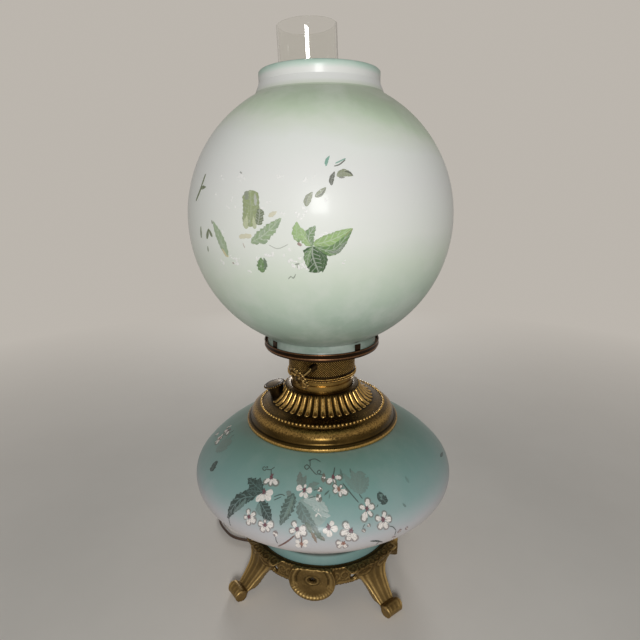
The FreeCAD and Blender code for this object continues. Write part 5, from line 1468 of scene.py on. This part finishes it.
# %% Bowl painting
petal_white, heart_red, heart_rust = (0.90, 0.84, 0.78), (0.16, 0.025, 0.045), (0.33, 0.13, 0.08)
slate_leaf, night_leaf = (0.065, 0.095, 0.075), (0.022, 0.036, 0.030)
smoke_leaf, moss_leaf = (0.16, 0.175, 0.15), (0.085, 0.105, 0.05)
twig, rust_leaf, stem_red = (0.05, 0.06, 0.05), (0.22, 0.12, 0.05), (0.16, 0.06, 0.035)
feather, feather_dark, painted_highlight_grey = (0.33, 0.38, 0.34), (0.11, 0.14, 0.12), (0.66, 0.68, 0.64)
bowl_leaves = [
    ([(-19.1, 136.8), (-23.7, 138.5), (-29.8, 140.5)], 13.0, night_leaf, leaf, 0.6, 0.5, 0.92),
    ([(-20.0, 137.6), (-22.9, 140.4), (-23.5, 143.2)], 7.5, night_leaf, leaf, 0.5, 0.5, 0.9),
    ([(-19.1, 136.8), (-23.0, 135.9), (-27.5, 134.0)], 9.0, night_leaf, leaf, 0.6, 0.4, 0.9),
    ([(-21.6, 133.7), (-28.1, 128.3), (-31.1, 113.2)], 13.5, night_leaf, leaf, 0.8, 0.35, 0.92),
    ([(-25.1, 130.4), (-26.8, 125.3), (-28.9, 119.2)], 5.5, slate_leaf, leaf, 0.7, 0.3, 0.7),
    ([(-18.9, 131.9), (-16.0, 128.4), (-11.7, 123.1)], 11.5, night_leaf, leaf, 0.7, 0.3, 0.92),
    ([(-18.6, 130.9), (-18.1, 127.6), (-16.0, 124.4)], 6.5, slate_leaf, leaf, 0.5, 0.3, 0.5),
    ([(-5.1, 139.6), (-6.0, 132.8), (-8.1, 121.5)], 12.5, slate_leaf, leaf, 0.9, 0.4, 0.85),
    ([(-5.0, 137.6), (-5.6, 131.8), (-7.6, 124.3)], 6.0, moss_leaf, leaf, 0.6, 0.4, 0.6),
    ([(-6.1, 138.5), (-8.5, 139.8)], 5.0, smoke_leaf, leaf, 0.3, 0.4, 0.7),
    ([(-1.7, 143.0), (-3.3, 146.2), (-4.1, 150.0)], 6.5, smoke_leaf, leaf, 0.4, 0.4, 0.8),
    ([(-1.5, 143.0), (-1.3, 146.4), (-0.4, 148.5)], 5.5, smoke_leaf, leaf, 0.4, 0.4, 0.75),
    ([(-2.2, 142.9), (-3.5, 144.7), (-4.7, 145.6)], 4.5, smoke_leaf, leaf, 0.4, 0.4, 0.7),
    ([(1.1, 142.7), (3.3, 144.5), (6.4, 145.1)], 5.0, smoke_leaf, leaf, 0.3, 0.4, 0.6),
    ([(2.1, 142.1), (5.7, 143.4)], 3.4, smoke_leaf, leaf, 0.3, 0.4, 0.5),
    ([(-1.8, 136.5), (3.6, 131.9), (9.1, 126.7)], 19.0, feather, block, 0.6, 0.25, 0.6),
    ([(-1.7, 136.0), (0.9, 129.0), (5.4, 122.9)], 12.0, feather_dark, leaf, 0.7, 0.3, 0.75),
    # The next two pale strokes are a painted highlight: the lamp's glint on the satin glass over the big leaf.
    ([(-0.5, 136.7), (5.1, 135.5), (10.3, 130.9)], 11.0, painted_highlight_grey, leaf, 0.6, 0.3, 0.5),
    ([(3.5, 133.4), (7.2, 129.9), (11.0, 128.7)], 8.0, painted_highlight_grey, leaf, 0.7, 0.3, 0.5),
    # These three small white strokes are a painted highlight, not petals.
    ([(4.4, 131.4), (5.4, 132.7)], 1.6, petal_white, leaf, 0.0, 0.2, 0.8),
    ([(6.0, 130.9), (6.3, 132.7)], 1.6, petal_white, leaf, 0.0, 0.2, 0.8),
    ([(4.9, 128.3), (6.2, 130.1), (7.6, 127.8)], 3.0, petal_white, leaf, 0.0, 0.3, 0.85),
    ([(23.5, 138.5), (24.0, 144.4), (23.3, 150.2)], 9.0, smoke_leaf, leaf, 0.5, 0.4, 0.5),
    ([(23.9, 138.4), (26.0, 144.0), (27.9, 149.0)], 11.0, smoke_leaf, block, 0.5, 0.4, 0.5),
    ([(23.9, 138.4), (27.4, 142.2), (31.0, 145.4)], 9.0, smoke_leaf, leaf, 0.5, 0.4, 0.5),
    ([(23.6, 139.0), (21.0, 144.4), (18.6, 149.3)], 6.5, smoke_leaf, leaf, 0.4, 0.4, 0.4),
    ([(18.0, 146.6), (17.7, 149.0), (17.5, 151.5)], 2.4, slate_leaf, leaf, 0.0, 0.4, 0.6),
    ([(22.6, 148.9), (23.1, 151.1)], 1.6, slate_leaf, leaf, 0.0, 0.4, 0.6),
    ([(31.4, 134.8), (33.1, 134.0), (34.5, 130.1)], 8.6, night_leaf, block, 0.5, 0.35, 0.92),
    ([(33.3, 135.9), (33.1, 132.6)], 6.0, slate_leaf, block, 0.4, 0.35, 0.6),
    ([(1.5, 125.4), (2.8, 122.1), (4.3, 118.4)], 5.0, moss_leaf, leaf, 0.4, 0.4, 0.8),
    ([(3.5, 124.4), (5.0, 121.7), (6.5, 118.5)], 4.6, slate_leaf, leaf, 0.4, 0.4, 0.8),
    ([(4.6, 122.3), (6.6, 117.1), (8.6, 113.2)], 5.0, moss_leaf, leaf, 0.4, 0.4, 0.75),
    ([(3.6, 120.3), (4.9, 115.5), (5.7, 111.4)], 3.2, rust_leaf, leaf, 0.3, 0.4, 0.75),
    ([(6.8, 116.4), (8.6, 114.4)], 3.0, rust_leaf, leaf, 0.3, 0.4, 0.6),
    ([(25.1, 108.2), (28.0, 106.2), (31.0, 101.9)], 1.8, night_leaf, leaf, 0.0, 0.2, 0.9),
    ([(28.1, 101.0), (28.9, 104.8)], 1.2, night_leaf, leaf, 0.0, 0.2, 0.7),
    ([(8.5, 139.3), (11.0, 141.8)], 1.5, slate_leaf, leaf, 0.0, 0.2, 0.8),
    ([(10.6, 137.5), (11.1, 140.4)], 1.0, slate_leaf, leaf, 0.0, 0.2, 0.5),
    ([(42.3, 124.2), (41.5, 126.8)], 2.2, slate_leaf, leaf, 0.0, 0.2, 0.5),
    ([(82.5, 128.8), (89.4, 126.2)], 3.0, night_leaf, leaf, 0.0, 0.3, 0.7),
    ([(49.6, 135.0), (49.8, 139.1)], 3.0, slate_leaf, leaf, 0.0, 0.3, 0.3),
]
bowl_tendrils = [
    ([(-23.2, 148.0), (-24.4, 148.5), (-25.1, 147.9), (-24.5, 147.1), (-23.2, 147.0), (-22.7, 147.8),
      (-20.4, 148.1), (-18.7, 149.9)], 0.8),
    ([(-22.4, 148.7), (-23.5, 148.9)], 1.4),
    ([(-20.0, 148.3), (-18.3, 145.2)], 0.9),
    ([(-13.5, 135.9), (-10.6, 137.8), (-8.4, 137.5)], 0.8),
    ([(-13.1, 134.1), (-10.0, 136.8)], 0.7),
    ([(6.9, 154.7), (3.4, 155.8), (0.2, 155.4)], 0.8),
    ([(0.2, 155.5), (0.8, 152.6), (-1.1, 153.2), (-2.2, 152.2), (-0.8, 151.2), (0.7, 152.1),
      (2.1, 151.1), (4.1, 149.5), (5.5, 149.1)], 0.9),
    ([(-0.6, 155.1), (1.1, 155.2)], 1.5),
    ([(5.5, 149.1), (7.0, 150.2), (6.1, 151.1), (5.1, 150.3), (6.0, 149.3), (8.8, 149.2)], 0.8),
    ([(3.7, 141.7), (5.3, 142.1)], 0.7),
    ([(1.6, 137.6), (3.3, 138.3), (5.0, 138.7)], 0.8),
    ([(14.7, 152.2), (14.0, 150.2), (13.2, 148.2)], 1.1),
    ([(17.4, 144.9), (20.2, 139.6), (23.0, 133.9)], 1.0),
    ([(23.9, 138.4), (24.9, 135.6)], 0.8),
    ([(29.7, 129.6), (30.8, 130.9)], 0.7),
    ([(32.9, 116.7), (34.5, 114.9), (35.8, 110.8)], 0.8),
    ([(35.8, 110.8), (35.4, 106.5)], 0.6),
    ([(27.2, 131.2), (28.5, 128.9)], 0.7),
    ([(22.3, 118.0), (22.7, 120.6), (23.6, 122.2)], 0.6),
    ([(-9.4, 112.9), (-9.2, 108.8), (-8.7, 106.4)], 0.6),
    ([(-30.6, 113.7), (-30.0, 106.3)], 0.6),
    ([(-31.7, 113.9), (-30.2, 113.5)], 1.2),
]
bowl_stems = [
    ([(-9.1, 102.3), (-5.1, 110.3), (-2.2, 116.7)], 1.3),
    ([(0.1, 119.6), (0.3, 113.3), (0.1, 105.2)], 0.9),
]
# Heart, petal tips, the heart's colour, and whether its petals are outlined
bowl_blossoms = [
    ((-18.1, 144.9), [(-20.2, 141.1), (-16.7, 140.9), (-13.7, 142.2)], heart_red, True),
    ((-18.6, 137.0), [(-14.5, 137.7), (-20.4, 131.3), (-17.9, 132.1), (-14.7, 133.9)], heart_red, False),
    ((-21.2, 121.5), [(-22.6, 125.4), (-19.0, 124.8), (-23.2, 120.0), (-20.7, 116.1), (-18.1, 119.7)],
     heart_red, True),
    ((-13.9, 119.8), [(-16.6, 119.6), (-14.3, 122.9), (-10.7, 121.2), (-14.9, 114.6), (-12.0, 116.3)],
     heart_red, True),
    ((-0.5, 141.6), [(-4.1, 142.7), (-0.2, 144.3), (3.0, 141.6), (-1.9, 138.3), (0.9, 137.8)], heart_red, False),
    ((-1.6, 120.9), [(-3.3, 124.8), (-4.1, 118.7), (-0.9, 114.7), (1.6, 121.8), (1.8, 118.1)], heart_red, True),
    ((13.2, 147.9), [(10.2, 145.2), (13.9, 145.0), (17.3, 147.2)], heart_red, True),
    ((15.3, 142.1), [(12.8, 140.8), (16.9, 143.7), (18.7, 139.5), (15.7, 138.3), (13.0, 144.2)], heart_rust, True),
    ((25.6, 130.1), [(27.1, 135.1), (28.9, 130.8), (26.9, 125.7), (23.1, 124.2), (22.9, 132.1)], heart_red, True),
    ((30.9, 122.2), [(32.5, 126.2), (34.2, 121.1), (31.9, 115.6), (28.7, 117.2), (28.2, 124.3)], heart_red, True),
    ((18.1, 119.7), [(15.7, 124.5), (16.7, 112.8), (19.7, 112.0), (14.3, 118.2)], heart_red, True),
    ((10.0, 122.7), [(11.8, 125.7), (13.2, 121.1), (10.3, 116.6), (8.1, 119.6)], heart_red, False),
    ((15.1, 110.3), [(12.6, 111.9), (13.2, 106.8), (16.2, 105.9)], heart_rust, True),
    ((0.2, 110.1), [(-1.8, 112.4), (2.4, 113.2), (2.0, 108.0), (-1.7, 107.0)], heart_rust, False),
]
bowl_buds = [
    (6.6, 142.1, 4.4), (6.2, 138.1, 4.8), (8.4, 147.7, 3.8), (-9.6, 115.2, 4.4), (37.7, 109.2, 2.4),
    (40.9, 108.5, 2.8), (35.3, 103.8, 3.0), (24.9, 120.9, 2.4), (22.7, 118.3, 2.8), (37.0, 108.6, 1.6),
]
bowl_skin = Skin(bowl_outside)
bowl_painter = Painter(bowl_skin, 11)


# %% Blossoms
def paint_blossom(painter, heart, tips, colour, outlined, turn):
    middle = np.array(heart)
    petals = []
    for tip in tips:
        reach = np.array(tip) - middle
        width = min(5.2, math.hypot(reach[0] * 2.0, reach[1]) * 0.80) * painter.random.uniform(0.9, 1.08)
        petals.append((reach, width))
    if outlined:
        for reach, width in petals:
            spine = [middle + reach * 0.2, middle + reach * 1.16]
            painter.stroke(spine, width + 0.75, stem_red, petal, 0.0, 0.0, 0.5, 10, turn)
    for reach, width in petals:
        spine = [middle + reach * 0.16, middle + reach * 1.06]
        painter.stroke(spine, width, petal_white, petal, 0.25, 0.0, 1.0, 10, turn)
    for reach, width in petals:
        spine = [middle, middle + reach * painter.random.uniform(0.5, 0.72)]
        painter.stroke(spine, 1.1, colour, leaf, 0.0, 0.0, 0.7, 6, turn)
    for ray in range(6):
        lean = ray * TURN / 6 + painter.random.uniform(-0.3, 0.3)
        length = painter.random.uniform(1.4, 2.4)
        tip = middle + np.array([length * math.cos(lean) * 0.5, length * math.sin(lean)])
        painter.stroke([middle, tip], 1.15, colour, leaf, 0.0, 0.0, 0.85, 6, turn)
    painter.dab(heart, 2.1, colour, 0.95, turn)


def paint_bowl(turn, leaves, tendrils, stems, blossoms, buds):
    for spine, width, colour, profile, veins, jagged, strength in leaves:
        bowl_painter.stroke(spine, width, colour, profile, veins, jagged, strength, 28, turn)
    for spine, width in tendrils:
        bowl_painter.stroke(spine, width, twig, line, 0.0, 0.0, 0.8, 5 * len(spine), turn)
    for spine, width in stems:
        bowl_painter.stroke(spine, width, stem_red, line, 0.0, 0.0, 0.9, 12, turn)
    for heart, tips, colour, outlined in blossoms:
        paint_blossom(bowl_painter, heart, tips, colour, outlined, turn)
    for azimuth, height, width in buds:
        bowl_painter.dab((azimuth, height), width + 0.9, stem_red, 0.6, turn)
        bowl_painter.dab((azimuth, height), width, petal_white, 1.0, turn)


paint_bowl(172.0, bowl_leaves[:15], bowl_tendrils[:9], bowl_stems, bowl_blossoms[:6], bowl_buds[:4])
paint_bowl(-88.0, bowl_leaves[22:29], [], [], bowl_blossoms[6:8], bowl_buds[1:3])
paint_bowl(0.0, bowl_leaves, bowl_tendrils, bowl_stems, bowl_blossoms, bowl_buds)
bowl_paint = make_paint("bowl_paint", bowl_ground, 80.0, 0.60, 0.74, 0.28, 0.6)
add_object("bowl_painting", bowl_painter.keep("bowl_painting"), bowl_paint, "foot", "painted_bowl_glass")
